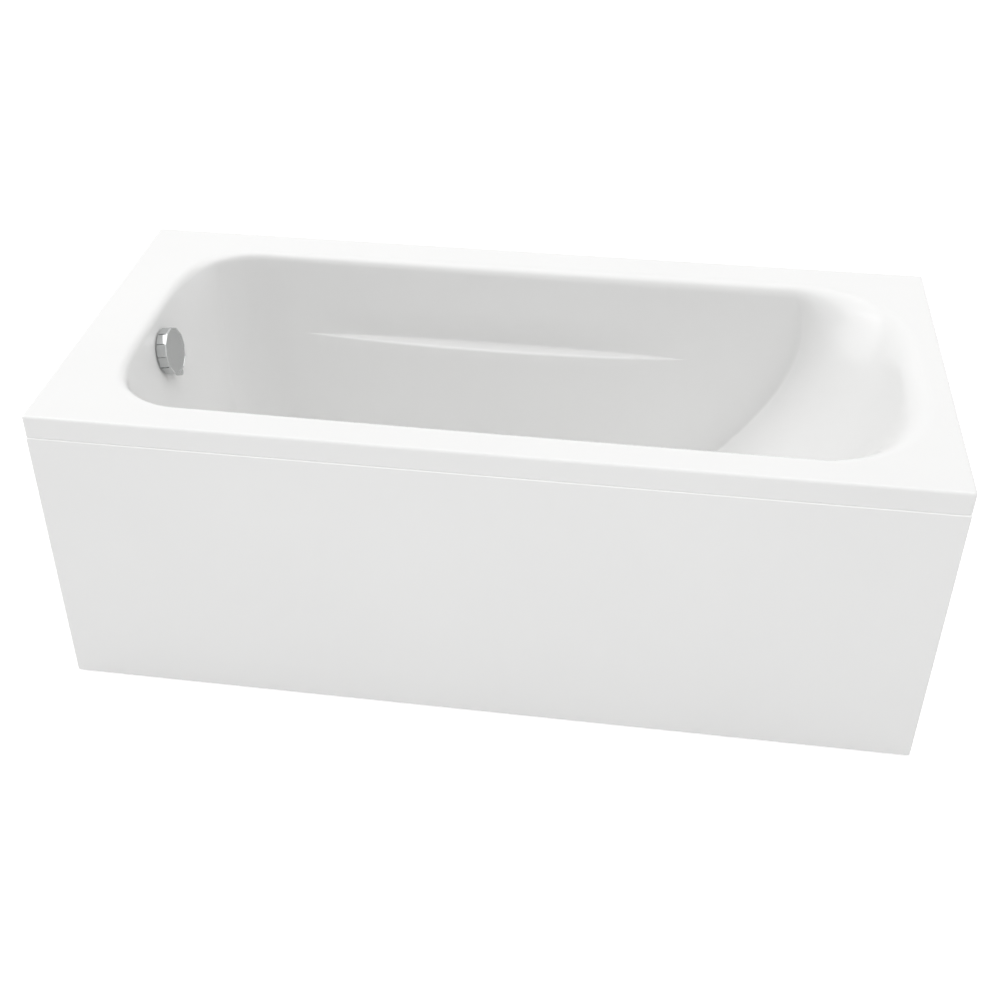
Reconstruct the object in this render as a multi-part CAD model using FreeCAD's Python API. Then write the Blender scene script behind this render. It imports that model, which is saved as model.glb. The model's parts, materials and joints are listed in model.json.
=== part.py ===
import FreeCAD, Part
import math
import os

V = FreeCAD.Vector
X, Y, Z = V(1, 0, 0), V(0, 1, 0), V(0, 0, 1)

# ---------------------------------------------------------------- driving sizes, in millimetres
# An acrylic alcove bathtub with one long front panel. The origin is on the floor under the
# middle of the tub, +X runs to the sloping head end, -Y faces the room and +Z is up.
length, width, height = 1500.0, 700.0, 565.0
skirt = 40.0                     # depth of the rim's turned-down edge
skirt_t = 4.0                    # acrylic alone, in the turned-down edge
skin = 6.0                       # acrylic with the glass fibre bonded under it
corner_r, edge_r = 6.0, 4.5      # outer corners and top edge of the rim

rim_front, rim_back = 57.0, 71.0  # flat rim before it rolls over into the basin
rim_foot, rim_head = 96.0, 55.0
lip_r = 14.0                     # roll-over between rim and basin
basin_depth = 415.0              # rim top to floor
floor_r = 50.0                   # rounding between walls and floor
side_draft, foot_draft = 0.15, 0.17
head_rake, head_sweep = 202.0, 104.0      # straight and curved share of the back slope
shoulder_top, shoulder_low = 169.0, 40.0  # depth of the scooped head end, at rim and floor
foot_bulge_top, foot_bulge_low = 41.6, 20.0
foot_corner_r = 125.0
ledge_drop = 158.0               # arm ledge below the rim
ledge_length, ledge_inset = 756.0, 697.0  # the ledge's middle, from the foot end
ledge_hollow, ledge_swell = 11.0, 18.0    # wall hollow above the ledge, swell below it
hollow_height = 46.0

waste_inset = 300.0              # middle of the waste hole, from the foot end
waste_hole_r = 28.0
overflow_drop = 70.0             # overflow below the rim
overflow_hole_r = 27.0
dish_r, dish_drop = 42.0, 4.0    # shallow dish round the waste hole

seat = 0.1                       # gap between pieces that bear on each other
clear = 0.3                      # gap between pieces that move past each other
running_fit = 0.06               # radial, round what turns or slides
thread_fit = 0.05                # radial, round screws and studs

panel_t = 3.0                    # moulded front panel
panel_return = 24.0
panel_gap = 0.6                  # line between skirt and panel
panel_floor_gap = 2.0
panel_edge_r = 2.0
stiffener_w, stiffener_t = 60.0, 15.0
stiffener_end_gap = 100.0
clip_w, clip_t, clip_nose = 30.0, 1.5, 4.0
clip_inset = 35.0                # from the batten's ends
clip_count = 4

batten_h = 20.0                  # timber battens under the rim
batten_front_w, batten_back_w = 40.0, 50.0
batten_edge_gap = 10.0           # from the edge of the tub
batten_end_gap = 175.0
wall_plate_w, wall_plate_t, wall_plate_drop = 70.0, 2.5, 60.0
wall_plate_inset = 350.0         # from the ends of the tub
slot_w, slot_long, slot_spacing = 7.0, 15.0, 40.0

board_t = 18.0                   # chipboard base board
board_waste_gap = 65.0           # from the middle of the waste
board_edge_gap = 12.0            # inside the flat of the floor
board_corner_r = 20.0
bar_w, bar_h, bar_t = 40.0, 25.0, 2.0     # folded steel cross bars
bar_inset = 85.0                 # from the board's ends
bar_end_gap = 56.0               # from the sides of the tub
foot_inset = 118.0               # from the sides of the tub
foot_travel = 25.0
stud_r, stud_spare = 6.0, 14.0
nut_width, nut_h = 19.0, 10.0
pad_r, pad_h, pad_neck_r, pad_floor = 24.0, 14.0, 11.0, 8.0
socket_w, socket_t, socket_r, socket_drop = 80.0, 3.0, 12.0, 40.0
bracket_w, bracket_t, bracket_foot, bracket_lap = 30.0, 2.0, 30.0, 14.0

screw_r, screw_head, screw_head_h, screw_grip = 2.1, 8.0, 2.6, 14.0

knob_r, knob_t, knob_wall = 40.0, 20.0, 3.0
knob_back = 2.2                  # clear of the curved wall
knob_grips = 12
groove_w, groove_deep = 2.2, 1.5
lug_r, lug_reach = 6.5, 6.5
spindle_r = 5.0
hub_r = 9.0
plate_r, plate_w, plate_t = 32.0, 20.0, 4.0      # bridge over the overflow hole
plate_rise = 1.1                          # off the curved wall
plate_screw_r = 19.5
overflow_flange_r, overflow_flange_t = 36.0, 3.0
seal_t = 3.0
cup_r, cup_wall, cup_depth = 30.0, 4.5, 31.0
bearing_deep = 5.0                        # solid back of the cup, bored for the spindle
drum_r, drum_t = 15.0, 6.0                # crank on the spindle

pipe_r, pipe_bore_r = 16.0, 12.9          # overflow pipe
spigot_r, spigot_bore_r, spigot_long = 12.6, 10.0, 22.0
coupling_width, coupling_long = 42.0, 16.0
pipe_gap = 26.5                           # from the basin's end wall to the pipe's middle
pipe_chamfer = 45.0                       # slanted run at the pipe's corner

flange_r, flange_t = 35.0, 2.5            # waste flange, screwed down on the dish
flange_tail_r, flange_bore_r, flange_tail = 27.0, 24.0, 22.0
flange_seal_t = 1.2
waste_r, waste_wall, waste_depth = 31.0, 3.7, 44.0
waste_rim_r, waste_rim_t = 38.0, 6.0
tail_r, tail_bore_r = 24.0, 21.0
inlet_drop, inlet_reach = 25.0, 40.0
stem_r, stem_long = 4.0, 42.0
guide_r, guide_h = 8.0, 8.0
plug_r, plug_crown, plug_spigot_r = 31.0, 3.0, 18.0
plug_lift = 10.0
lever_gap, lever_w, lever_arm, lever_t = 0.6, 8.0, 19.5, 4.0
lever_rise, lever_tail, lever_boss_r = 5.4, 9.4, 4.5
lever_offset = 18.0                       # pivot from the plug's axis
pin_r = 2.0
cable_r = 3.0
cable_boss_r, cable_boss_long = 6.0, 16.0
cable_side, cable_bend_r = 45.0, 32.0
wire_r = 1.5

trap_r, trap_wall = 38.0, 3.5             # drum of the bottle trap
trap_neck, trap_neck_r = 16.0, 27.5
trap_drum = 54.0
trap_outlet_r, trap_outlet, trap_out_rise = 21.0, 110.0, 32.0
socket_bore_r, socket_wall, socket_deep = 20.2, 3.3, 30.0
trap_nut_width, trap_nut_long = 62.0, 18.0
cap_t, cap_lap = 5.0, 9.0
tail_dip = 30.0                           # how far the tail dips into the trap's drum


# ---------------------------------------------------------------- sizes that follow
wall_top = height - lip_r
waste_x = waste_inset - length / 2
ledge_x = ledge_inset - length / 2
floor_z = height - basin_depth
wall_depth = wall_top - floor_z
ledge_depth = ledge_drop - lip_r
basin_y = (rim_front - rim_back) / 2
half_top = (width - rim_front - rim_back) / 2 - lip_r
foot_x = -length / 2 + rim_foot + lip_r
head_x = length / 2 - rim_head - lip_r
front_y, back_y = -width / 2, width / 2
rim_under = height - skin
skirt_z = height - skirt
tilt = math.atan(foot_draft)
dish_z = floor_z - dish_drop

board_top = floor_z - skin - seat
board_under = board_top - board_t
board_x0 = waste_x + board_waste_gap
board_x1 = head_x - head_rake - head_sweep - floor_r - board_edge_gap
board_half = half_top - side_draft * wall_depth - floor_r - board_edge_gap
bar_top = board_under - seat
bar_xs = (board_x0 + bar_inset, board_x1 - bar_inset)
bar_half = width / 2 - bar_end_gap
foot_half = width / 2 - foot_inset
centre_x = sum(bar_xs) / 2
stud_top = bar_top + seat + nut_h + stud_spare

panel_top = skirt_z - panel_gap
return_y = front_y + panel_return
batten_under = rim_under - seat - batten_h
batten_x = length / 2 - batten_end_gap
clip_run = 2 * (batten_x - clip_inset)
clip_xs = [clip_run * (k / (clip_count - 1) - 0.5) for k in range(clip_count)]
clip_screw_y = front_y + batten_edge_gap + batten_front_w / 2
wall_plate_xs = (wall_plate_inset - length / 2, length / 2 - wall_plate_inset)
wall_screw_y = back_y - batten_edge_gap - batten_back_w / 2

wall_stack = skin * (1 + foot_draft) * math.cos(tilt)
overflow_z = height - overflow_drop
overflow_at = V(foot_x + foot_draft * (wall_top - overflow_z), basin_y, overflow_z)
overflow_pipe_x = overflow_at.x - pipe_gap
elbow_x = -(wall_stack + seat + seal_t + seat)      # along the tilted axis
cup_back_x = elbow_x - cup_depth
drum_x = (elbow_x + cup_back_x) / 2 - drum_t

flange_z = dish_z + seat + flange_seal_t + seat
waste_seal_top = dish_z - skin - seat
waste_top = waste_seal_top - seal_t - seat
waste_bore_r = waste_r - waste_wall
tail_top = waste_top - waste_depth - (waste_r - tail_r)
tail_z = tail_top - trap_neck - tail_dip
inlet_z = waste_top - inlet_drop
plug_under = flange_z + flange_t + clear
stem_top = plug_under - 4.0
stem_bottom = stem_top - stem_long
pivot = V(waste_x, basin_y - lever_offset, stem_bottom - lever_gap - lever_rise)
trap_top = tail_top - seat
trap_low = trap_top - trap_neck - trap_drum


# ---------------------------------------------------------------- small helpers
def box(x0, x1, y0, y1, z0, z1):
    return Part.makeBox(x1 - x0, y1 - y0, z1 - z0, V(x0, y0, z0))


def rod(r, start, axis, long):
    return Part.makeCylinder(r, long, start, axis)


def tube(r_out, r_in, start, axis, long):
    return rod(r_out, start, axis, long).cut(rod(r_in, start - axis, axis, long + 2))


def prism(sides, across, start, axis, long):
    """A regular bar across flats wide, with one flat facing along its second direction."""
    flat = V(1, 0, 0) if abs(axis.x) < 0.5 else V(0, 1, 0)
    side = axis.cross(flat)
    r = across / 2 / math.cos(math.pi / sides)
    turns = [math.pi * (2 * k + 1) / sides for k in range(sides + 1)]
    ring = [start + flat * (r * math.cos(a)) + side * (r * math.sin(a)) for a in turns]
    return Part.Face(Part.makePolygon(ring)).extrude(axis * long)


def strip(outline, x_mid, wide):
    """A folded strip: its (y, z) outline pushed along X."""
    points = [V(x_mid - wide / 2, y, z) for y, z in outline]
    return Part.Face(Part.makePolygon(points + points[:1])).extrude(V(wide, 0, 0))


def screw(at, up=1):
    """A hexagon-headed screw whose head bears at the point and whose shank goes up (or down)."""
    head = prism(6, screw_head, at - Z * (up * seat), Z * -up, screw_head_h)
    shank = prism(6, 2 * screw_r, at - Z * (up * (seat + 0.5)), Z * up, screw_grip + seat + 0.5)
    return head.fuse(shank)


def screw_hole(at, up=1):
    return prism(6, 2 * (screw_r + thread_fit), at - Z * (up * 6), Z * up, screw_grip + 7)


def barrel(r, start, axis, long):
    """A hidden moulded round, drawn with 24 flats that lie on its radius."""
    return prism(24, 2 * r, start, axis, long)


def ring(r_out, r_in, start, axis, long):
    """A flat washer."""
    return barrel(r_out, start, axis, long).cut(barrel(r_in, start - axis, axis, long + 2))


def upright(shape, low=1.0):
    return [e for e in shape.Edges if abs(e.Vertexes[0].Z - e.Vertexes[-1].Z) > low]


def spin_profile(points, start, axis):
    """A closed (radius, height) outline turned about an axis through start."""
    flat = V(1, 0, 0) if abs(axis.x) < 0.5 else V(0, 1, 0)
    ring = [start + flat * r + axis * h for r, h in points]
    return Part.Face(Part.makePolygon(ring + ring[:1])).revolve(start, axis, 360)


def bent_rod(points, bend, r, sides):
    """A many-sided bar along the points: straight runs joined by turned bends."""
    here, along = points[0], (points[1] - points[0]).normalize()
    flat = Z if abs(along.z) < 0.5 else X
    side = along.cross(flat)
    turns = [2 * math.pi * (k + 0.5) / sides for k in range(sides + 1)]
    rim = [flat * (r * math.cos(a)) + side * (r * math.sin(a)) for a in turns]
    pieces = []
    for corner, after in zip(points[1:], points[2:] + [None]):
        out = (after - corner).normalize() if after else along
        turn = along.getAngle(out)
        cut = bend * math.tan(turn / 2)
        first = corner - along * cut
        face = Part.Face(Part.makePolygon([here + p for p in rim]))
        pieces.append(face.extrude(first - here))
        if after:
            axis = along.cross(out).normalize()
            centre = first + axis.cross(along) * bend
            face = Part.Face(Part.makePolygon([first + p for p in rim]))
            pieces.append(face.revolve(centre, axis, math.degrees(turn)))
            spin = FreeCAD.Rotation(axis, math.degrees(turn))
            rim = [spin.multVec(p) for p in rim]
            here, along = corner + out * cut, out
    return joined(pieces)


def mitred_rod(points, r):
    ring = Part.Wire(Part.makeCircle(r, points[0], points[1] - points[0]))
    return Part.Wire(Part.makePolygon(points)).makePipeShell([ring], True, False, 1)


def joined(shapes):
    return shapes[0].fuse(shapes[1:]).removeSplitter()


def save(name, shape):
    bad = "" if shape.isValid() else "  NOT VALID"
    print(f"{name}: {len(shape.Solids)} solids, {shape.Volume / 1000:.1f} cm3{bad}")
    shape.exportStep(f"parts/{name}.step")


# ---------------------------------------------------------------- the basin's form
def end_shape(x_end, bulge, reach, fullness, flare, side):
    """The curve of one basin end, crease to crease, as a function of an angle.

    It is part of a rounded square (fullness 2 is an ellipse) that is flare times as wide as the
    basin there, so it meets the side walls at a crease. With a flare of 1 it blends into them.
    """
    wide = reach * flare
    deep = bulge / (1 - (1 - flare ** -fullness) ** (1 / fullness))

    def point(a, z):
        across = math.copysign(abs(math.sin(a)) ** (2 / fullness), a)
        along = math.cos(a) ** (2 / fullness)
        return V(x_end - side * deep * (1 - along), basin_y - side * wide * across, z)

    return point, math.asin(flare ** (-fullness / 2))


def end_curve(shape, z):
    point, limit = shape
    steps = 4
    points = [point(limit * k / steps, z) for k in range(-steps, steps + 1)]
    curve = Part.BSplineCurve()
    curve.interpolate(Points=points, Parameters=[k / (2 * steps) for k in range(2 * steps + 1)])
    return curve.toShape(), points[0], points[-1]


def soft_arc(first, middle, last):
    """A circular arc as a plain spline, which keeps the lofted walls light."""
    arc = Part.Arc(first, middle, last)
    a, b = arc.FirstParameter, arc.LastParameter
    curve = Part.BSplineCurve()
    curve.interpolate(
        Points=[first, arc.value((a + b) / 2), last],
        Parameters=[0, 0.5, 1],
        InitialTangent=arc.tangent(a)[0],
        FinalTangent=arc.tangent(b)[0],
    )
    return curve.toShape()


def basin_cut(depth, z, grow=0.0, bow=0.0):
    """One level outline of the basin, depth below the top of its walls and drawn at height z.

    grow moves it outward, and bow bends the middle of both side walls out (+) or in (-).
    """
    t = max(0.0, depth / wall_depth)
    fade, sharp = (1 - t) ** 3, (1 - t) ** 8
    half = half_top - side_draft * depth + grow
    slip = grow / 4
    head_end = head_x - head_rake * t - head_sweep * t * t + grow
    head_deep = shoulder_low + (shoulder_top - shoulder_low) * fade + slip
    foot_end = foot_x + foot_draft * depth - grow
    foot_deep = foot_bulge_low + (foot_bulge_top - foot_bulge_low) * fade + slip
    turn = math.radians(45 + 13 * t)
    corner = foot_corner_r + grow
    foot_reach = half - corner * (1 - math.cos(turn))
    head, head_back, head_front = end_curve(
        end_shape(head_end, head_deep, half, 2 + 1.4 * sharp, 1.000001 + 1.5 * t, 1), z)
    foot, foot_front, foot_back = end_curve(
        end_shape(foot_end, foot_deep, foot_reach, 2 + 2 * sharp, 1.1555 + 3 * t, -1), z)

    def wall(side, crease, head_crease):
        y = basin_y + side * half
        far = crease.x + corner * math.sin(turn)
        near = far - corner * math.sin(turn / 2)
        middle = V(near, y - side * corner * (1 - math.cos(turn / 2)), z)
        a = V(max(ledge_x - ledge_length / 2, far + 10), y, z)
        b = V(min(ledge_x + ledge_length / 2, head_crease.x - 40), y, z)
        start = V(far, y, z)
        bowed = V((a.x + b.x) / 2, y + side * bow, z)
        return [
            soft_arc(crease, middle, start),
            Part.makeLine(start, a),
            soft_arc(a, bowed, b) if abs(bow) > 1e-6 else Part.makeLine(a, b),
            Part.makeLine(b, head_crease),
        ]

    back = wall(1, foot_back, head_back)
    front = wall(-1, foot_front, head_front)
    return Part.Wire(Part.__sortEdges__(back + [head] + front + [foot]))


def stack(levels):
    return Part.makeLoft([basin_cut(*level) for level in levels], True, True)


def lip_part(grow):
    """The roll-over from the rim down to the top of the walls, as a quarter round."""
    r = lip_r - grow
    turns = [math.radians(90 - 30 * k) for k in range(4)]
    return stack([(0.0, wall_top + r * math.sin(a), lip_r - r * math.cos(a)) for a in turns])


def upper_part(grow, drop):
    """Walls from the lip down to the arm ledge, hollowed just above it."""
    levels = [(0.0, wall_top, grow)]
    for depth, bow in ((ledge_depth - hollow_height, 0.0), (ledge_depth, ledge_hollow)):
        levels.append((depth, wall_top - depth - drop, grow, bow))
    return stack(levels)


def lower_part(grow, drop):
    """Walls from the ledge, where they swell inward, down to the floor rounding."""
    start = wall_depth - floor_r
    middle = (ledge_depth + start) / 2
    levels = ((ledge_depth, -ledge_swell), (middle, -ledge_swell * 0.6), (start, 0.0))
    return stack([(d, wall_top - d - drop, grow, bow) for d, bow in levels])


def floor_part(grow, drop):
    levels = []
    for k in range(4):
        a = math.radians(30 * k)
        depth = wall_depth - floor_r * (1 - math.sin(a))
        levels.append((depth, wall_top - depth - drop, grow - floor_r * (1 - math.cos(a))))
    return stack(levels)


def rounded_slab(x0, x1, y0, y1, z0, z1, r):
    slab = box(x0, x1, y0, y1, z0, z1)
    return slab.makeFillet(r, upright(slab))


def on_overflow(shape):
    """Moves a shape drawn along +X from the origin onto the overflow's tilted axis."""
    turn = FreeCAD.Placement(overflow_at, FreeCAD.Rotation(Y, -math.degrees(tilt)))
    shape.Placement = turn.multiply(shape.Placement)
    return shape


def overflow_point(x, y=0.0, z=0.0):
    turn = FreeCAD.Placement(overflow_at, FreeCAD.Rotation(Y, -math.degrees(tilt)))
    return turn.multVec(V(x, y, z))


def at_waste(z):
    return V(waste_x, basin_y, z)


# ---------------------------------------------------------------- shell
def bath_shell():
    """White acrylic tray, skirt and basin, with glass fibre bonded under them as one laminate."""
    inside = joined([lip_part(0), upper_part(0, 0), lower_part(0, 0), floor_part(0, 0)])
    outside = joined([
        lip_part(skin), upper_part(skin, skin), lower_part(skin, skin), floor_part(skin, skin)])
    rim = box(-length / 2, length / 2, front_y, back_y, skirt_z, height)
    rim = rim.makeFillet(corner_r, upright(rim))
    top = [e for e in rim.Edges if min(v.Z for v in e.Vertexes) > height - 1]
    rim = rim.makeFillet(edge_r, top)
    rim = rim.cut(rounded_slab(
        -length / 2 + skirt_t, length / 2 - skirt_t, front_y + skirt_t, back_y - skirt_t,
        skirt_z - 1, rim_under, corner_r - skirt_t))
    dish = Part.makeCone(dish_r - dish_drop, dish_r + 1, dish_drop + 1, at_waste(dish_z))
    cup = Part.makeCone(
        dish_r - dish_drop + skin, dish_r + 1 + skin, dish_drop + 1, at_waste(dish_z - skin))
    shell = rim.fuse(outside).fuse(cup).cut(inside).cut(dish)
    shell = shell.cut(rod(waste_hole_r, at_waste(dish_z - skin - 5), Z, 30))
    return shell.cut(on_overflow(rod(overflow_hole_r, V(-30, 0, 0), X, 60)))


# ---------------------------------------------------------------- timber and frame
def front_batten():
    y0 = front_y + batten_edge_gap
    return box(-batten_x, batten_x, y0, y0 + batten_front_w, batten_under, batten_under + batten_h)


def back_batten():
    y1 = back_y - batten_edge_gap
    return box(-batten_x, batten_x, y1 - batten_back_w, y1, batten_under, batten_under + batten_h)


def base_board():
    return rounded_slab(
        board_x0, board_x1, basin_y - board_half, basin_y + board_half,
        board_under, board_top, board_corner_r)


def board_screws():
    return [(x, basin_y + side * board_half * 0.7) for x in bar_xs for side in (-1, 1)]


def base_board_screws():
    return Part.makeCompound([screw(V(x, y, bar_top - bar_t)) for x, y in board_screws()])


def cross_bar(x):
    """A folded steel channel, open downward, with a welded nut for each of its two feet."""
    outer = box(x - bar_w / 2, x + bar_w / 2, -bar_half, bar_half, bar_top - bar_h, bar_top)
    inner = box(
        x - bar_w / 2 + bar_t, x + bar_w / 2 - bar_t, -bar_half - 1, bar_half + 1,
        bar_top - bar_h - 1, bar_top - bar_t)
    places = [V(x, y, bar_top - bar_t - nut_h) for y in (-foot_half, foot_half)]
    nuts = [prism(6, nut_width, at, Z, nut_h + bar_t / 2) for at in places]
    holes = [rod(stud_r + thread_fit, at - Z, Z, nut_h + bar_t + 2) for at in places]
    holes += [screw_hole(V(x, y, bar_top - bar_t)) for at, y in board_screws() if at == x]
    holes.append(screw_hole(V(x, bracket_screw_y(), bar_top + seat + bracket_t), -1))
    return outer.cut(inner).fuse(nuts).cut(holes)


def centre_foot_socket():
    """Plate and threaded sleeve that hold the middle foot under the board."""
    at = V(centre_x, basin_y, board_under - seat - socket_t)
    plate = box(at.x - socket_w / 2, at.x + socket_w / 2, at.y - socket_w / 2,
                at.y + socket_w / 2, at.z, at.z + socket_t)
    sleeve = prism(8, 2 * socket_r, at - Z * socket_drop, Z, socket_drop + 1)
    return plate.fuse(sleeve).cut(rod(stud_r + thread_fit, at - Z * (socket_drop + 1), Z, socket_drop + socket_t + 2))


def foot_places():
    """Where each foot stands, and how high its stud reaches."""
    sides = [("foot_end", bar_xs[0]), ("head_end", bar_xs[1])]
    places = {}
    for end, x in sides:
        places[end + "_front_foot"] = (V(x, -foot_half, 0), stud_top)
        places[end + "_back_foot"] = (V(x, foot_half, 0), stud_top)
    places["centre_foot"] = (V(centre_x, basin_y, 0), board_under - seat - socket_t)
    return places


def foot_stud(at, top):
    return rod(stud_r, at + Z * pad_h, Z, top - pad_h)


def foot_pad(at):
    """Twelve-sided moulded pad under the stud, with a raised neck."""
    plate = prism(12, 2 * pad_r, at, Z, pad_floor)
    return plate.fuse(prism(12, 2 * pad_neck_r, at + Z * (pad_floor - 1), Z, pad_h - pad_floor + 1))


def foot_lock_nuts():
    """One nut under each welded nut and under the middle sleeve."""
    nuts = []
    for name, (at, top) in foot_places().items():
        z = bar_top - bar_t - seat - 2 * nut_h
        if name == "centre_foot":
            z = board_under - seat - socket_t - socket_drop - seat - nut_h
        nut = prism(6, nut_width, at + Z * z, Z, nut_h)
        nuts.append(nut.cut(rod(stud_r + thread_fit, at + Z * (z - 1), Z, nut_h + 2)))
    return Part.makeCompound(nuts)


# ---------------------------------------------------------------- front panel and its fixings
def front_panel():
    """A moulded tray that stands under the skirt, its four edges turned back."""
    x1 = length / 2
    tray = box(-x1, x1, front_y, return_y, panel_floor_gap, panel_top)
    tray = tray.makeFillet(panel_edge_r, [e for e in tray.Edges if e.BoundBox.YMax < front_y + 1])
    return tray.cut(box(-x1 + panel_t, x1 - panel_t, front_y + panel_t, return_y + 1,
                        panel_floor_gap + panel_t, panel_top - panel_t))


def panel_stiffener():
    x1, y0 = length / 2 - stiffener_end_gap, front_y + panel_t + seat
    z = (panel_top + panel_floor_gap) / 2
    return box(-x1, x1, y0, y0 + stiffener_t, z - stiffener_w / 2, z + stiffener_w / 2)


def clip_outline():
    """Spring clip: screwed under the front batten, its nose under the panel's top return."""
    top, low = batten_under - seat, panel_top - panel_t - clear - clip_t
    back, front = front_y + batten_edge_gap + batten_front_w, front_y + batten_edge_gap + 4
    nose = return_y - clip_nose
    return [(front, top), (back, top), (back, low), (nose, low), (nose, low + clip_t),
            (back - clip_t, low + clip_t), (back - clip_t, top - clip_t), (front, top - clip_t)]


def panel_clips():
    clips = []
    for x in clip_xs:
        clip = strip(clip_outline(), x, clip_w)
        clips.append(clip.cut(screw_hole(V(x, clip_screw_y, batten_under - seat))))
    return Part.makeCompound(clips)


def clip_screws():
    z = batten_under - seat - clip_t
    return Part.makeCompound([screw(V(x, clip_screw_y, z)) for x in clip_xs])


def bracket_screw_y():
    return -bar_half + bracket_foot / 2


def panel_support_brackets():
    """Folded feet from the cross bars that hold the foot of the panel down and out."""
    top = bar_top + seat + bracket_t
    low = panel_floor_gap + panel_t + clear
    stop, inner = return_y + clear, -bar_half + bracket_foot
    outline = [(inner, top), (inner, top - bracket_t), (stop + bracket_t, top - bracket_t),
               (stop + bracket_t, low), (stop - bracket_lap, low),
               (stop - bracket_lap, low + bracket_t), (stop, low + bracket_t), (stop, top)]
    brackets = []
    for x in bar_xs:
        hole = screw_hole(V(x, bracket_screw_y(), top), -1)
        brackets.append(strip(outline, x, bracket_w).cut(hole))
    return Part.makeCompound(brackets)


def bracket_screws():
    z = bar_top + seat + bracket_t
    return Part.makeCompound([screw(V(x, bracket_screw_y(), z), -1) for x in bar_xs])


# ---------------------------------------------------------------- wall brackets
def wall_screw_xs():
    return [x + side * slot_spacing / 2 for x in wall_plate_xs for side in (-1, 1)]


def slot(at):
    """A slot along X through a plate that stands across Y."""
    run = slot_long - slot_w
    start = at + V(-run / 2, -10, 0)
    middle = box(start.x, start.x + run, start.y, start.y + 20,
                 at.z - slot_w / 2, at.z + slot_w / 2)
    ends = [rod(slot_w / 2, start + X * shift, Y, 20) for shift in (0, run)]
    return middle.fuse(ends)


def wall_brackets():
    """Zed plates from the back batten, under the skirt and down the wall, with slots."""
    t = wall_plate_t
    top, step = batten_under - seat, skirt_z - 1
    low = step - wall_plate_drop
    leg = back_y - batten_edge_gap
    inner = leg - batten_back_w + 10
    outline = [(inner, top), (leg + t, top), (leg + t, step), (back_y, step), (back_y, low),
               (back_y - t, low), (back_y - t, step - t), (leg, step - t), (leg, top - t),
               (inner, top - t)]
    plates = []
    for x in wall_plate_xs:
        plate = strip(outline, x, wall_plate_w)
        for side in (-1, 1):
            at = x + side * slot_spacing / 2
            plate = plate.cut(slot(V(at, back_y, (step + low) / 2)))
            plate = plate.cut(screw_hole(V(at, wall_screw_y, top)))
        plates.append(plate)
    return Part.makeCompound(plates)


def wall_bracket_screws():
    z = batten_under - seat - wall_plate_t
    return Part.makeCompound([screw(V(x, wall_screw_y, z)) for x in wall_screw_xs()])


# ---------------------------------------------------------------- overflow and its knob
def overflow_knob():
    """Twelve-sided grip with a groove at each corner and a pointer lug, hollow behind."""
    corner = 2 * knob_r * math.cos(math.pi / knob_grips)
    grip = prism(knob_grips, corner, X * knob_back, X, knob_t - knob_back)
    rim = [e for e in grip.Edges if e.BoundBox.XMin > knob_t - 0.01]
    grip = grip.makeChamfer(1.5, rim)
    for k in range(knob_grips):
        groove = box(knob_back - 1, knob_t - 3, -groove_w / 2, groove_w / 2,
                     knob_r - groove_deep, knob_r + 1)
        groove.rotate(V(), X, 360 * (k + 0.5) / knob_grips)
        grip = grip.cut(groove)
    lug = rod(lug_r, V(knob_t - 12, 0, lug_reach - knob_r), X, 11)
    lug.translate(Z * (lug_r - 2 * lug_reach))
    hollow = rod(knob_r - 2 * knob_wall, X * (knob_back - 1), X, knob_t - knob_wall - knob_back + 1)
    hub = rod(hub_r, X * (plate_rise + plate_t + clear), X,
              knob_t - knob_wall - plate_rise - plate_t - clear + 1)
    knob = grip.fuse(lug).cut(hollow).fuse(hub)
    return on_overflow(knob.cut(rod(spindle_r, X, X, knob_t - knob_wall - 1 - 1)))


def overflow_spindle():
    start = cup_back_x + 1 + clear
    return on_overflow(rod(spindle_r, X * start, X, knob_t - knob_wall - 1 - start))


def cable_crank():
    """Flat arm on the spindle that pulls the cable's end."""
    arm = box(drum_x, drum_x + drum_t, -hub_r, hub_r, -hub_r, drum_r)
    arm = arm.makeChamfer(4, [e for e in arm.Edges if e.BoundBox.XLength > drum_t - 1])
    return on_overflow(arm.cut(rod(spindle_r, X * (drum_x - 1), X, drum_t + 2)))


def faceplate_screw_holes(extra):
    return [prism(6, 2 * (screw_r + extra), V(cup_back_x + 8, side * plate_screw_r, 0), X, 60)
            for side in (-1, 1)]


def overflow_faceplate():
    """Round-ended bridge with the spindle's bearing, clamped across the overflow hole."""
    bridge = box(plate_rise, plate_rise + plate_t, -plate_r, plate_r, -plate_w / 2, plate_w / 2)
    ends = [e for e in bridge.Edges if e.BoundBox.XLength > plate_t - 1]
    bridge = bridge.makeFillet(plate_w / 2 - 1, ends)
    bridge = bridge.cut(rod(spindle_r + running_fit, V(), X, 20))
    return on_overflow(bridge.cut(faceplate_screw_holes(thread_fit)))


def faceplate_screws():
    """Two long screws from the faceplate into the posts of the elbow."""
    screws = []
    start, face = elbow_x - 11, plate_rise + plate_t + seat
    for side in (-1, 1):
        at = V(face, side * plate_screw_r, 0)
        head = prism(6, screw_head, at, X, screw_head_h)
        shank = prism(6, 2 * screw_r, at + X * 0.5, X * -1, face + 0.5 - start)
        screws.append(on_overflow(head.fuse(shank)))
    return Part.makeCompound(screws)


def overflow_seal():
    x = -(wall_stack + seat + seal_t)
    return on_overflow(ring(overflow_flange_r, overflow_hole_r + 1, X * x, X, seal_t))


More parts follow.
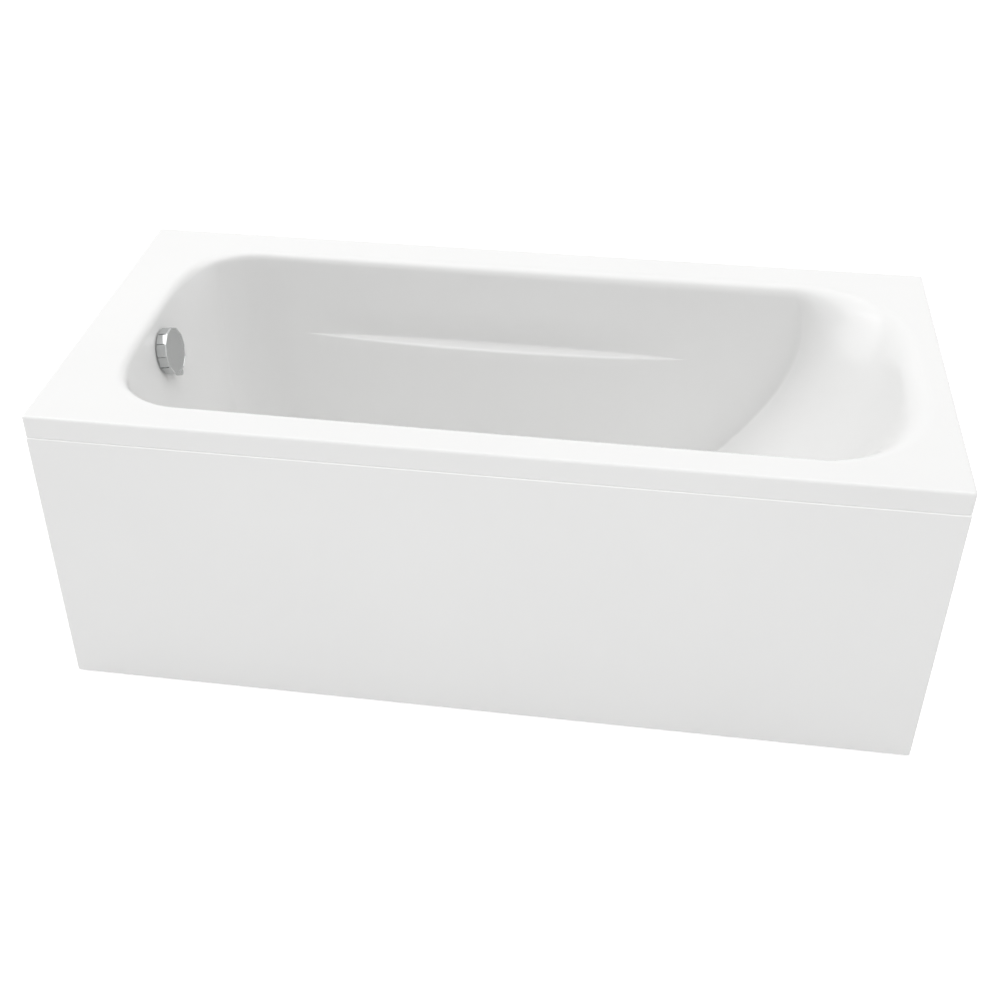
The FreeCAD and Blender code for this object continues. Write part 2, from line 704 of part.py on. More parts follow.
def overflow_elbow():
    """Cup behind the wall with its flange, screw blocks, bearing, cable gland and spigot."""
    flange = barrel(overflow_flange_r, X * (elbow_x - overflow_flange_t), X, overflow_flange_t)
    cup = barrel(cup_r, X * cup_back_x, X, cup_depth)
    hollow = barrel(cup_r - cup_wall, X * (cup_back_x + bearing_deep), X, cup_depth)
    blocks = [box(elbow_x - 12, elbow_x, min(side * 15, side * (cup_r - 1)),
                  max(side * 15, side * (cup_r - 1)), -5, 5) for side in (-1, 1)]
    solid = on_overflow(flange.fuse(cup))
    spigot = barrel(spigot_r, pipe_top() - Z * spigot_long, Z, spigot_long + cup_r)
    gland = prism(8, 2 * cable_boss_r, cable_start(), Y, cable_boss_long + cup_r / 2)
    solid = solid.fuse([spigot, gland]).cut(on_overflow(hollow)).fuse([on_overflow(b) for b in blocks])
    bearing = on_overflow(rod(spindle_r + running_fit, X * (cup_back_x + 1), X, 40))
    bore = barrel(spigot_bore_r, pipe_top() - Z * (spigot_long + 1), Z, spigot_long + cup_r)
    screws = [on_overflow(hole) for hole in faceplate_screw_holes(thread_fit)]
    wire = prism(8, 2 * wire_r, cable_start(), Y, cable_boss_long + cup_r)
    return solid.cut([bearing, bore, wire, cable_end(cable_start(), Y)] + screws)


def pipe_top():
    """Top end of the overflow pipe, just under the elbow's cup."""
    return V(overflow_pipe_x, basin_y, overflow_point(cup_back_x).z - cup_r - 8)


def pipe_bottom():
    return V(waste_x - waste_r - inlet_reach + spigot_long, basin_y, inlet_z)


def overflow_pipe():
    """Stiff plastic pipe with a mitred elbow, from the overflow down and across to the waste."""
    top, end = pipe_top(), pipe_bottom()
    high = V(top.x, top.y, end.z + pipe_chamfer)
    low = V(top.x + pipe_chamfer, top.y, end.z)
    bore = mitred_rod([top + Z * 5, high, low, end + X * 5], pipe_bore_r)
    return mitred_rod([top, high, low, end], pipe_r).cut(bore)


def coupling(start, axis):
    """Ribbed union nut that pulls the pipe's end onto its spigot."""
    nut = prism(8, coupling_width, start, axis, coupling_long)
    return nut.cut(barrel(pipe_r + seat, start - axis, axis, coupling_long + 2))


def upper_pipe_nut():
    return coupling(pipe_top() - Z * coupling_long, Z)


def lower_pipe_nut():
    return coupling(pipe_bottom() - X * coupling_long, X)


# ---------------------------------------------------------------- remote-control cable
def cable_start():
    """Where the cable leaves the elbow, beside the drum."""
    at = overflow_point(drum_x + drum_t / 2, 0, drum_r - 4)
    return V(at.x, at.y - cup_r - cable_boss_long, at.z)


def cable_finish():
    return V(waste_x, basin_y - waste_r - cable_boss_long, pivot.z + lever_tail - 2)


def cable_end(at, axis):
    """Blind socket in a gland for the end of the cable."""
    return barrel(cable_r + thread_fit, at - axis, axis, 7)


def bowden_cable():
    """Sheathed cable from the overflow down beside the pipe and under the tub to the waste."""
    a, b = cable_start() + Y * 6, cable_finish() + Y * 6
    out = a - Y * (cable_boss_long + cable_side)
    points = [a, out, V(out.x, out.y, b.z), V(b.x, out.y, b.z), b]
    return bent_rod(points, cable_bend_r, cable_r, 8)


# ---------------------------------------------------------------- waste, plug and its lever
def waste_flange():
    """Flange in the dish with a threaded tail and a two-armed guide for the plug's stem."""
    low = flange_z - flange_tail
    flange = Part.makeCone(flange_r, flange_r - 1.5, flange_t, at_waste(flange_z))
    flange = flange.cut(rod(flange_bore_r, at_waste(flange_z - 1), Z, flange_t + 2))
    tail = ring(flange_tail_r, flange_bore_r, at_waste(low), Z, flange_tail + 0.5)
    guide = prism(8, 2 * guide_r, at_waste(low), Z, guide_h)
    arm = box(waste_x - flange_bore_r - 1, waste_x + flange_bore_r + 1, basin_y - 2, basin_y + 2,
              low, low + guide_h)
    bore = rod(stem_r + running_fit, at_waste(low - 1), Z, guide_h + 2)
    return flange.fuse([tail, guide, arm]).cut(bore)


def waste_upper_seal():
    return ring(flange_r, waste_hole_r - 0.5, at_waste(dish_z + seat), Z, flange_seal_t)


def waste_lower_seal():
    return ring(waste_rim_r - 1, waste_hole_r - 0.5, at_waste(waste_seal_top - seal_t), Z, seal_t)


def waste_body():
    """Chamber under the tub: clamping rim, side inlet, cable gland and dip tube."""
    low = waste_top - waste_depth
    end = V(waste_x - waste_r - inlet_reach, basin_y, inlet_z)
    solid = barrel(waste_r, at_waste(tail_top), Z, waste_top - tail_top).fuse([
        barrel(waste_rim_r, at_waste(waste_top - waste_rim_t), Z, waste_rim_t),
        barrel(tail_r, at_waste(tail_z), Z, tail_top - tail_z + 1),
        barrel(spigot_r, end, X, inlet_reach + 8),
        prism(8, 2 * cable_boss_r, cable_finish(), Y, cable_boss_long + 8)])
    return solid.cut([
        barrel(waste_bore_r, at_waste(low), Z, waste_depth + 1),
        barrel(tail_bore_r, at_waste(tail_z - 1), Z, low - tail_z + 2),
        barrel(spigot_bore_r, end - X, X, inlet_reach + 12),
        prism(8, 2 * wire_r, cable_finish() - Y, Y, cable_boss_long + 12),
        cable_end(cable_finish(), Y),
        rod(pin_r + thread_fit, pivot - X * 40, X, 80)])


def plug():
    """Low crowned plug with a spigot that carries its seal."""
    crown = Part.makeCone(plug_r, plug_r - 3, plug_crown, at_waste(plug_under))
    return crown.fuse(barrel(plug_spigot_r, at_waste(plug_under - 4), Z, 4.5))


def plug_seal():
    return ring(flange_bore_r - 1, plug_spigot_r + 0.2, at_waste(plug_under - 3), Z, 2.8)


def plug_stem():
    return rod(stem_r, at_waste(stem_bottom), Z, stem_long - seat / 2)


def lift_lever():
    """Bell crank: its arm lies under the plug's stem and the cable pulls its tail."""
    y, z = pivot.y, pivot.z
    tip = y + lever_arm
    arm = strip([(y, z + lever_rise - lever_t), (tip, z + lever_rise - lever_t),
                 (tip, z + lever_rise), (y, z + lever_rise)], waste_x, lever_w)
    tail = strip([(y - 3, z), (y + 3, z), (y + 3, z + lever_tail), (y - 3, z + lever_tail)],
                 waste_x, lever_w)
    boss = prism(8, 2 * lever_boss_r, pivot - X * (lever_w / 2), X, lever_w)
    return boss.fuse([arm, tail]).cut(rod(pin_r + running_fit, pivot - X * 20, X, 40))


def lever_pin():
    half = math.sqrt(waste_r ** 2 - lever_offset ** 2) - 1
    return rod(pin_r, pivot - X * half, X, 2 * half)


# ---------------------------------------------------------------- trap
def trap_inlet_nut():
    """Eight-sided nut that clamps the trap's neck round the waste's tail."""
    low = trap_top - trap_neck
    nut = prism(8, trap_nut_width, at_waste(low + seat), Z, trap_neck - 1)
    return nut.cut(barrel(trap_neck_r + seat, at_waste(low - 1), Z, trap_neck + 2))


def trap_body():
    """Shallow bottle trap: a drum round the waste's dip tube, with its outlet to the wall."""
    shoulder = trap_top - trap_neck
    mouth = trap_mouth()
    solid = barrel(trap_r, at_waste(trap_low), Z, shoulder - trap_low).fuse([
        barrel(trap_neck_r, at_waste(shoulder - 1), Z, trap_neck + 1),
        barrel(trap_outlet_r, mouth - Y * trap_outlet, Y, trap_outlet),
        barrel(socket_bore_r + socket_wall, mouth - Y * (socket_deep + 3), Y, socket_deep + 3)])
    return solid.cut([
        barrel(trap_r - trap_wall, at_waste(trap_low - 1), Z, shoulder - trap_wall - trap_low + 1),
        barrel(tail_r + seat, at_waste(trap_low), Z, trap_top - trap_low + 1),
        barrel(trap_outlet_r - trap_wall, mouth - Y * trap_outlet, Y, trap_outlet + 1),
        rod(socket_bore_r, mouth - Y * socket_deep, Y, socket_deep + 1)])


def trap_mouth():
    return V(waste_x, basin_y + trap_outlet, trap_low + trap_out_rise)


def trap_outlet_nut():
    nut = prism(8, trap_nut_width, trap_mouth() - Y * (socket_deep - 2), Y, trap_nut_long)
    r = socket_bore_r + socket_wall + seat
    return nut.cut(barrel(r, trap_mouth() - Y * socket_deep, Y, socket_deep + 2))


def trap_cleaning_cap():
    """Screwed cup that closes the bottom of the drum."""
    low = trap_low - cap_t
    cap = prism(12, 2 * (trap_r + 4), at_waste(low), Z, cap_t + cap_lap)
    return cap.cut(barrel(trap_r + seat, at_waste(trap_low - seat), Z, cap_lap + 1))


# ---------------------------------------------------------------- build
def all_parts():
    parts = {
        "bath_shell": bath_shell(),
        "front_rim_batten": front_batten(),
        "back_rim_batten": back_batten(),
        "base_board": base_board(),
        "foot_end_cross_bar": cross_bar(bar_xs[0]),
        "head_end_cross_bar": cross_bar(bar_xs[1]),
        "centre_foot_socket": centre_foot_socket(),
        "foot_lock_nuts": foot_lock_nuts(),
    }
    for name, (at, top) in foot_places().items():
        parts[name + "_stud"] = foot_stud(at, top)
        parts[name + "_pad"] = foot_pad(at)
    makers = (
        base_board_screws, front_panel, panel_stiffener, panel_clips, clip_screws,
        panel_support_brackets, bracket_screws, wall_brackets, wall_bracket_screws,
        overflow_knob, overflow_spindle, cable_crank, overflow_faceplate, faceplate_screws,
        overflow_seal, overflow_elbow, overflow_pipe, upper_pipe_nut, lower_pipe_nut,
        bowden_cable, waste_flange, waste_upper_seal, waste_lower_seal, waste_body,
        plug, plug_seal, plug_stem, lift_lever, lever_pin,
        trap_inlet_nut, trap_body, trap_outlet_nut, trap_cleaning_cap,
    )
    for make in makers:
        parts[make.__name__] = make()
    return parts


os.makedirs("parts", exist_ok=True)
for name, shape in all_parts().items():
    save(name, shape)
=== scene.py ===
# %% [markdown]
# # Dressing an alcove bath
# The construction model already holds every piece of the bath at its real size and place: the
# shell, the front panel, the frame and feet, the waste and the overflow. This lesson gives those
# pieces their finish. Where the eye rests, a plain solid is swapped for a finer mesh in the same
# space. Nothing is moved, because the joints and fits depend on it. Only the lip of the rim is
# drawn rounder than its solid, and the panel's top edge and the knob's grip a little larger.

# %% Load the construction model
import json
import math

import bmesh
import bpy
import numpy as np
from mathutils import Matrix, Vector

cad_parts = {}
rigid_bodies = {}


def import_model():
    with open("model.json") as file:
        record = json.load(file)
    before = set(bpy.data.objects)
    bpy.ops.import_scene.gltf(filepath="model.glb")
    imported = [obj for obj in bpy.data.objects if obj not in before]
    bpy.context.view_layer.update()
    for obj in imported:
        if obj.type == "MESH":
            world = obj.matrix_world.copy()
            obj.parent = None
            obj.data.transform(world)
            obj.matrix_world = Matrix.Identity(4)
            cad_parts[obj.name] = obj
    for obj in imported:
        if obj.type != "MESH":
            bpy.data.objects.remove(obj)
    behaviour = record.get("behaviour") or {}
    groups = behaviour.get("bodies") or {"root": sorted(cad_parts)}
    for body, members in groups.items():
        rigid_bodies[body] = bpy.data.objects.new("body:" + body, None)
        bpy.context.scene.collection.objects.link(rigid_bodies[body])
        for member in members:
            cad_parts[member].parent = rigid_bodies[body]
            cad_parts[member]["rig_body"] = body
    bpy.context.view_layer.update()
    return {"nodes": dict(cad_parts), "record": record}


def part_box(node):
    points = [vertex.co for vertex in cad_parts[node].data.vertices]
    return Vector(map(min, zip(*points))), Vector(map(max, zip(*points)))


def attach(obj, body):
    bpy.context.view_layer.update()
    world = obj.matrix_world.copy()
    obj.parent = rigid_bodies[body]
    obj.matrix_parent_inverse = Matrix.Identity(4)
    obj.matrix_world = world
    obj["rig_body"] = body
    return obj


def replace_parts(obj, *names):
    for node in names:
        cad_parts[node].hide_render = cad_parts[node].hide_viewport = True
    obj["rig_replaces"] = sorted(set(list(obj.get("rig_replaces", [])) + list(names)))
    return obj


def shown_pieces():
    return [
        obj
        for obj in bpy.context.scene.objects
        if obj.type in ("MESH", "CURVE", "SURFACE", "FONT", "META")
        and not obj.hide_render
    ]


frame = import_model()
mm = 0.001
slot_of = {part["node"]: part["material_slot"] for part in frame["record"]["subparts"]}
body_of = {name: node["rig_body"] for name, node in frame["nodes"].items()}

# %% [markdown]
# ## Small tools for shader nodes
# A procedural finish is a small network of nodes. A few helpers keep such networks short enough
# to read: they add a node and fill its sockets, do a sum, mix two colours or lay a pattern. Effects
# that several finishes share are node groups, built once and placed with their own values.

# %% A node and its sockets
def add(tree, kind, settings=None, **sockets):
    """A new shader node. Each socket gets a link if its value is a socket, or else the number."""
    node = tree.nodes.new("ShaderNode" + kind)
    for label, value in (settings or {}).items():
        setattr(node, label, value)
    for label, value in sockets.items():
        fill(tree, node.inputs[label.replace("_", " ")], value)
    return node


def fill(tree, socket, value):
    """Links a socket into another, or writes a number or colour into it."""
    if isinstance(value, bpy.types.NodeSocket):
        tree.links.new(value, socket)
    else:
        socket.default_value = value


# %% Sums, ranges and mixes
def calc(tree, operation, first, second):
    """One step of arithmetic, as a socket."""
    node = tree.nodes.new("ShaderNodeMath")
    node.operation = operation
    for socket, value in zip(node.inputs, (first, second)):
        fill(tree, socket, value)
    return node.outputs[0]


def between(tree, value, low, high, out_low=0.0, out_high=1.0):
    """A value's range mapped onto another, and held inside it."""
    node = add(tree, "MapRange", Value=value, From_Min=low, From_Max=high)
    fill(tree, node.inputs["To Min"], out_low)
    fill(tree, node.inputs["To Max"], out_high)
    return node.outputs["Result"]


def tint(tree, amount, first, second):
    """A mix of two colours."""
    node = tree.nodes.new("ShaderNodeMix")
    node.data_type = "RGBA"
    for index, value in ((0, amount), (6, first), (7, second)):
        fill(tree, node.inputs[index], value)
    return node.outputs[2]


# %% Patterns in object space
def noise(tree, scale, detail=2.0, stretch=(1.0, 1.0, 1.0), turn=(0.0, 0.0, 0.0)):
    """Cloudy noise in object space, turned and then scaled along each axis. The scale is in clouds
    per metre.
    """
    place = add(tree, "TexCoord").outputs["Object"]
    turned_place = add(tree, "Mapping", Vector=place, Rotation=turn).outputs[0]
    spread = add(tree, "Mapping", Vector=turned_place, Scale=stretch)
    made = add(tree, "TexNoise", Vector=spread.outputs[0], Scale=scale, Detail=detail)
    return made.outputs["Fac"]


def cells(tree, scale, output="Distance", stretch=(1.0, 1.0, 1.0)):
    """A pattern of irregular cells in object space."""
    place = add(tree, "TexCoord").outputs["Object"]
    spread = add(tree, "Mapping", Vector=place, Scale=stretch)
    return add(tree, "TexVoronoi", Vector=spread.outputs[0], Scale=scale).outputs[output]


# %% Node groups
def new_group(name, inputs, outputs):
    """An empty node group with named inputs (and their usual values) and outputs."""
    group = bpy.data.node_groups.new(name, "ShaderNodeTree")
    for label, value in inputs.items():
        kind = "NodeSocketColor" if isinstance(value, tuple) else "NodeSocketFloat"
        socket = group.interface.new_socket(label, in_out="INPUT", socket_type=kind)
        socket.default_value = value
    for label in outputs:
        kind = "NodeSocketColor" if label == "Color" else "NodeSocketFloat"
        group.interface.new_socket(label, in_out="OUTPUT", socket_type=kind)
    into, out = group.nodes.new("NodeGroupInput"), group.nodes.new("NodeGroupOutput")
    return group, into.outputs, out.inputs


def place_group(tree, group, **values):
    """A group placed in a material with its own values. Gives its outputs."""
    node = tree.nodes.new("ShaderNodeGroup")
    node.node_tree = group
    for label, value in values.items():
        fill(tree, node.inputs[label.replace("_", " ")], value)
    return node.outputs


# %% [markdown]
# ## Shared effects
# Moulded and plated surfaces are never perfectly even. A polished surface has a long, faint
# waviness, a fine skin like orange peel, and patches where hands and cloths have dulled it. Soft
# hairline scratches run across it. Pieces under the tub gather dust on whatever faces up. Each
# effect gives only values between 0 and 1, or heights in millimetres, so that any shader can use
# it.

# %% Polish: waviness, peel and dull patches
def build_polish():
    group, into, out = new_group(
        "polish", {"Roughness": 0.15, "Patches": 0.05, "Ripple": 0.02, "Peel": 0.002},
        ["Roughness", "Height"])
    patches = between(group, noise(group, 9.0, 4.0), 0.35, 0.7)
    scratches = between(group, noise(group, 60.0, 3.0, (1.0, 22.0, 9.0)), 0.66, 0.74)
    dulled = calc(group, "MULTIPLY", patches, into["Patches"])
    dulled = calc(group, "ADD", dulled, into["Roughness"])
    dulled = calc(group, "ADD", dulled, calc(group, "MULTIPLY", scratches, 0.03))
    ripple = calc(group, "MULTIPLY", noise(group, 7.0, 1.0), into["Ripple"])
    peel = calc(group, "MULTIPLY", noise(group, 650.0, 1.0), into["Peel"])
    fill(group, out["Roughness"], dulled)
    fill(group, out["Height"], calc(group, "ADD", ripple, peel))
    return group


def output_names(group):
    """The names of the values that a group gives."""
    return [s.name for s in group.interface.items_tree if s.in_out == "OUTPUT"]


polish = build_polish()
print("group", polish.name, "gives", output_names(polish))


# %% Dust that settles on whatever faces up
def build_dust():
    group, into, out = new_group("dust", {"Amount": 0.5}, ["Mask"])
    up = add(group, "SeparateXYZ", Vector=add(group, "NewGeometry").outputs["Normal"]).outputs["Z"]
    lying = between(group, up, 0.3, 0.95)
    specks = between(group, noise(group, 45.0, 6.0), 0.35, 0.75)
    film = calc(group, "MULTIPLY", lying, specks)
    fill(group, out["Mask"], calc(group, "MULTIPLY", film, into["Amount"]))
    return group


dust = build_dust()
dust_grey = (0.55, 0.53, 0.50, 1.0)
print("group", dust.name, "gives", output_names(dust))


# %% [markdown]
# ## The finishes
# Each finish is one function that returns a material. The record names a finish for every piece,
# so a dictionary from those names to materials dresses the whole bath. Heights are in
# millimetres, and a Bump node with a distance of one millimetre turns them into shading.

# %% A material with its bump
def start_material(name, **sockets):
    """A material with one Principled shader whose constant sockets are set straight away."""
    material = bpy.data.materials.new(name)
    material.use_nodes = True
    shader = material.node_tree.nodes["Principled BSDF"]
    for label, value in sockets.items():
        shader.inputs[label.replace("_", " ")].default_value = value
    return material, material.node_tree, shader


def raise_surface(tree, shader, height):
    """Shades a surface as if it stood up by a height in millimetres."""
    bump = add(tree, "Bump", Height=height, Strength=1.0, Distance=mm)
    tree.links.new(bump.outputs["Normal"], shader.inputs["Normal"])


# %% [markdown]
# Sanitary acrylic is a vacuum-formed sheet: white all through, glossy, with a soft reflection
# because the sheet pulls a little over the mould. The rim and the basin are one sheet. The front
# panel is a second moulding from the same white, with a painted highlight along its top bend:
# the colour there is painted paler, for the light that its rounded edge catches.

# %% White acrylic
# The second white is the colour of the painted highlight on the panel's top bend.
white, highlight_white = (0.84, 0.84, 0.835, 1.0), (0.98, 0.98, 0.975, 1.0)


def acrylic(name, ripple, highlight_above=1.0):
    """White sheet. Above a height it is painted paler, a painted highlight on the rounded top bend.
    """
    material, tree, shader = start_material(name, IOR=1.49, Coat_Weight=0.15, Coat_Roughness=0.05)
    shine = place_group(tree, polish, Roughness=0.2, Patches=0.05, Ripple=ripple, Peel=0.0012)
    clouds = between(tree, noise(tree, 3.0, 3.0), 0.3, 0.7)
    darker = tuple(0.985 * c for c in white[:3]) + (1.0,)
    sheet = tint(tree, clouds, white, darker)
    height = add(tree, "SeparateXYZ", Vector=add(tree, "TexCoord").outputs["Object"]).outputs["Z"]
    # Painted highlight: above the given height the sheet colour is mixed towards the paler white.
    painted_highlight = between(tree, height, highlight_above, highlight_above + 1.5 * mm)
    fill(tree, shader.inputs["Base Color"], tint(tree, painted_highlight, sheet, highlight_white))
    fill(tree, shader.inputs["Roughness"], shine["Roughness"])
    raise_surface(tree, shader, shine["Height"])
    return material


# The height where the panel's painted highlight begins, 4 mm under its top.
panel_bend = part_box("front_panel")[1].z - 4 * mm
finishes = {
    "white_acrylic": acrylic("white_acrylic", 0.12),
    "panel_acrylic": acrylic("panel_acrylic", 0.06, panel_bend),
}
print("the panel is paler above", round(panel_bend, 4), "m")


# %% [markdown]
# The hidden side of the shell is sprayed with resin and chopped glass strands and rolled down by
# hand. It is dull and cream-grey, with strands lying every way. Stretched noises, each turned its
# own way, give the strands, and a coarser noise gives the rolled lumps.

# %% Bonded glass fibre
def glass_fibre():
    material, tree, shader = start_material("glass_fibre", IOR=1.5)
    strands = 0.0
    for turn in ((0.4, 0.7, 0.3), (-0.8, 0.5, 1.5), (1.2, -0.6, -0.7), (0.2, -1.1, 2.4)):
        laid = noise(tree, 330.0, 1.0, (0.07, 1.0, 1.0), turn)
        strands = calc(tree, "MAXIMUM", between(tree, laid, 0.56, 0.68), strands)
    lumps = noise(tree, 38.0, 4.0)
    resin = tint(tree, strands, (0.53, 0.52, 0.45, 1.0), (0.69, 0.68, 0.61, 1.0))
    fill(tree, shader.inputs["Base Color"], resin)
    fill(tree, shader.inputs["Roughness"], between(tree, lumps, 0.3, 0.7, 0.35, 0.6))
    raised, rolled = calc(tree, "MULTIPLY", strands, 0.25), calc(tree, "MULTIPLY", lumps, 0.9)
    raise_surface(tree, shader, calc(tree, "ADD", raised, rolled))
    return material


hidden_side = glass_fibre()
print("hidden side of the shell:", hidden_side.name)


# %% [markdown]
# Timber battens are planed softwood. Rings cut lengthwise show as long wavering bands, so the
# pattern is stretched along the board. The base board is raw chipboard: flat chips of several
# tones pressed together, which cells of an irregular pattern give.

# %% Softwood
def softwood():
    material, tree, shader = start_material("softwood", IOR=1.4)
    place = add(tree, "TexCoord").outputs["Object"]
    laid = add(tree, "Mapping", Vector=place, Scale=(0.9, 14.0, 14.0)).outputs[0]
    rings = add(tree, "TexWave", {"bands_direction": "Z"}, Vector=laid, Scale=2.4, Distortion=5.0,
                Detail=3.0, Detail_Scale=1.4).outputs["Fac"]
    pores = between(tree, noise(tree, 700.0, 2.0, (0.03, 1.0, 1.0)), 0.5, 0.68)
    colour = tint(tree, rings, (0.62, 0.43, 0.24, 1.0), (0.42, 0.25, 0.12, 1.0))
    colour = tint(tree, calc(tree, "MULTIPLY", pores, 0.35), colour, (0.25, 0.14, 0.07, 1.0))
    film = place_group(tree, dust, Amount=0.45)["Mask"]
    fill(tree, shader.inputs["Base Color"], tint(tree, film, colour, dust_grey))
    fill(tree, shader.inputs["Roughness"], between(tree, rings, 0.0, 1.0, 0.62, 0.5))
    raised, sunk = calc(tree, "MULTIPLY", rings, 0.05), calc(tree, "MULTIPLY", pores, 0.06)
    raise_surface(tree, shader, calc(tree, "SUBTRACT", raised, sunk))
    return material


# %% Chipboard
def chipboard():
    material, tree, shader = start_material("chipboard", IOR=1.4)
    tone = add(tree, "SeparateColor", Color=cells(tree, 260.0, "Color", (1.0, 1.0, 2.2))).outputs[0]
    large = add(tree, "SeparateColor", Color=cells(tree, 90.0, "Color", (1.0, 1.6, 2.2))).outputs[1]
    mixed = calc(tree, "ADD", calc(tree, "MULTIPLY", tone, 0.6), calc(tree, "MULTIPLY", large, 0.4))
    colour = tint(tree, mixed, (0.36, 0.24, 0.13, 1.0), (0.68, 0.52, 0.33, 1.0))
    film = place_group(tree, dust, Amount=0.5)["Mask"]
    fill(tree, shader.inputs["Base Color"], tint(tree, film, colour, dust_grey))
    fill(tree, shader.inputs["Roughness"], between(tree, mixed, 0.0, 1.0, 0.85, 0.7))
    gaps = cells(tree, 260.0, "Distance", (1.0, 1.0, 2.2))
    raise_surface(tree, shader, calc(tree, "MULTIPLY", gaps, -0.12))
    return material


finishes["timber"] = softwood()
finishes["chipboard"] = chipboard()
print("finishes so far:", ", ".join(finishes))


# %% [markdown]
# Zinc plate is a dull metal with faint crystals and, with time, paler bloom. Chrome plate on the
# knob, flange and plug is nearly a mirror. Turned brass keeps the tool's fine rings. Wherever they
# are clean they are fully metallic, so their colour is the colour of the reflection.

# %% Zinc plate
def zinc_plate():
    material, tree, shader = start_material("zinc_plate", Metallic=1.0)
    tone = add(tree, "SeparateColor", Color=cells(tree, 320.0, "Color")).outputs[0]
    bloom = between(tree, noise(tree, 30.0, 5.0), 0.5, 0.75)
    colour = tint(tree, tone, (0.50, 0.51, 0.53, 1.0), (0.64, 0.65, 0.67, 1.0))
    colour = tint(tree, calc(tree, "MULTIPLY", bloom, 0.5), colour, (0.72, 0.72, 0.72, 1.0))
    film = place_group(tree, dust, Amount=0.35)["Mask"]
    fill(tree, shader.inputs["Base Color"], tint(tree, film, colour, dust_grey))
    fill(tree, shader.inputs["Metallic"], between(tree, film, 0.0, 1.0, 1.0, 0.1))
    fill(tree, shader.inputs["Roughness"], between(tree, bloom, 0.0, 1.0, 0.28, 0.5))
    raise_surface(tree, shader, calc(tree, "MULTIPLY", noise(tree, 900.0, 2.0), 0.01))
    return material


# %% Chrome plate
def chrome():
    material, tree, shader = start_material("chrome_plate", Metallic=1.0)
    shine = place_group(tree, polish, Roughness=0.09, Patches=0.1, Ripple=0.01, Peel=0.001)
    limescale = between(tree, noise(tree, 120.0, 5.0), 0.6, 0.8)
    colour = tint(tree, calc(tree, "MULTIPLY", limescale, 0.3), (0.57, 0.58, 0.58, 1.0),
                  (0.64, 0.64, 0.63, 1.0))
    fill(tree, shader.inputs["Base Color"], colour)
    fill(tree, shader.inputs["Roughness"], calc(
        tree, "ADD", shine["Roughness"], calc(tree, "MULTIPLY", limescale, 0.08)))
    raise_surface(tree, shader, shine["Height"])
    return material


# %% Turned brass
def brass():
    material, tree, shader = start_material("turned_brass", Metallic=1.0)
    tarnish = between(tree, noise(tree, 60.0, 5.0), 0.4, 0.7)
    colour = tint(tree, tarnish, (0.72, 0.52, 0.22, 1.0), (0.45, 0.30, 0.13, 1.0))
    fill(tree, shader.inputs["Base Color"], colour)
    fill(tree, shader.inputs["Roughness"], between(tree, tarnish, 0.0, 1.0, 0.22, 0.45))
    rings = noise(tree, 900.0, 1.0, (1.0, 1.0, 4.0))
    raise_surface(tree, shader, calc(tree, "MULTIPLY", rings, 0.01))
    return material


finishes["zinc_steel"] = zinc_plate()
finishes["chrome"] = chrome()
finishes["brass"] = brass()
print("finishes so far:", ", ".join(finishes))


# %% [markdown]
# The plastics and rubber differ in gloss and in the grain of their moulds. One function makes
# them all, from a colour, a roughness, a grain and an amount of dust.

# %% Plastics and rubber
def moulded(name, colour, rough, grain, grain_scale, dusty):
    material, tree, shader = start_material(name, IOR=1.48)
    worn = between(tree, noise(tree, 25.0, 4.0), 0.4, 0.7)
    paler = tuple(c + 0.12 * (1.0 - c) for c in colour) + (1.0,)
    base = tint(tree, calc(tree, "MULTIPLY", worn, 0.3), colour + (1.0,), paler)
    film = place_group(tree, dust, Amount=dusty)["Mask"]
    fill(tree, shader.inputs["Base Color"], tint(tree, film, base, dust_grey))
    fill(tree, shader.inputs["Roughness"], between(tree, worn, 0.0, 1.0, rough, rough + 0.12))
    raise_surface(tree, shader, calc(tree, "MULTIPLY", noise(tree, grain_scale, 2.0), grain))
    return material


for slot, name, colour, *rest in (
        ("black_plastic", "black_plastic", (0.022, 0.022, 0.024), 0.5, 0.03, 1400.0, 0.35),
        ("rubber", "seal_rubber", (0.016, 0.016, 0.016), 0.7, 0.02, 900.0, 0.1),
        ("white_fittings", "white_fittings", (0.80, 0.80, 0.77), 0.36, 0.01, 900.0, 0.25),
        ("grey_cable", "grey_cable", (0.09, 0.09, 0.095), 0.45, 0.02, 500.0, 0.3)):
    finishes[slot] = moulded(name, colour, *rest)
print(len(finishes) + 1, "finishes for", sorted(set(slot_of.values())))


# %% [markdown]
# ## Turning a bmesh into a piece
# Every new mesh goes through one function. It makes the object at the origin, smooths its shading
# except over sharp edges, gives it its finish, and says which construction node it stands for and
# which body it rides on.

# %% Finish a piece
def finish_piece(bm, name, nodes, materials=None, sharp=35.0):
    """Makes an object of a bmesh, in place of the nodes, on the body that they ride on."""
    for face in bm.faces:
        face.smooth = True
    for edge in bm.edges:
        turn = edge.calc_face_angle(0.0) if len(edge.link_faces) == 2 else 0.0
        edge.smooth = turn < math.radians(sharp)
    mesh = bpy.data.meshes.new(name)
    bm.to_mesh(mesh)
    bm.free()
    for material in materials or [finishes[slot_of[nodes[0]]]]:
        mesh.materials.append(material)
    piece = bpy.data.objects.new(name, mesh)
    bpy.context.scene.collection.objects.link(piece)
    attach(piece, body_of[nodes[0]])
    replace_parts(piece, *nodes)
    print(f"{name}: {len(mesh.polygons)} faces, for {', '.join(nodes)}")
    return piece


# %% [markdown]
# ## The form of the basin
# The basin is the piece that makes or breaks the bath. Seen from above, each level of it is a
# closed outline: a scooped head end and a rounded foot end, each part of a rounded square, joined
# by side walls. Going down, the head end slopes away and its edge with the side walls sharpens
# into a crease. Modelling this by hand with subdivision would only guess at the sizes, so each
# outline is worked out, and the mesh is grown from one outline to the next.

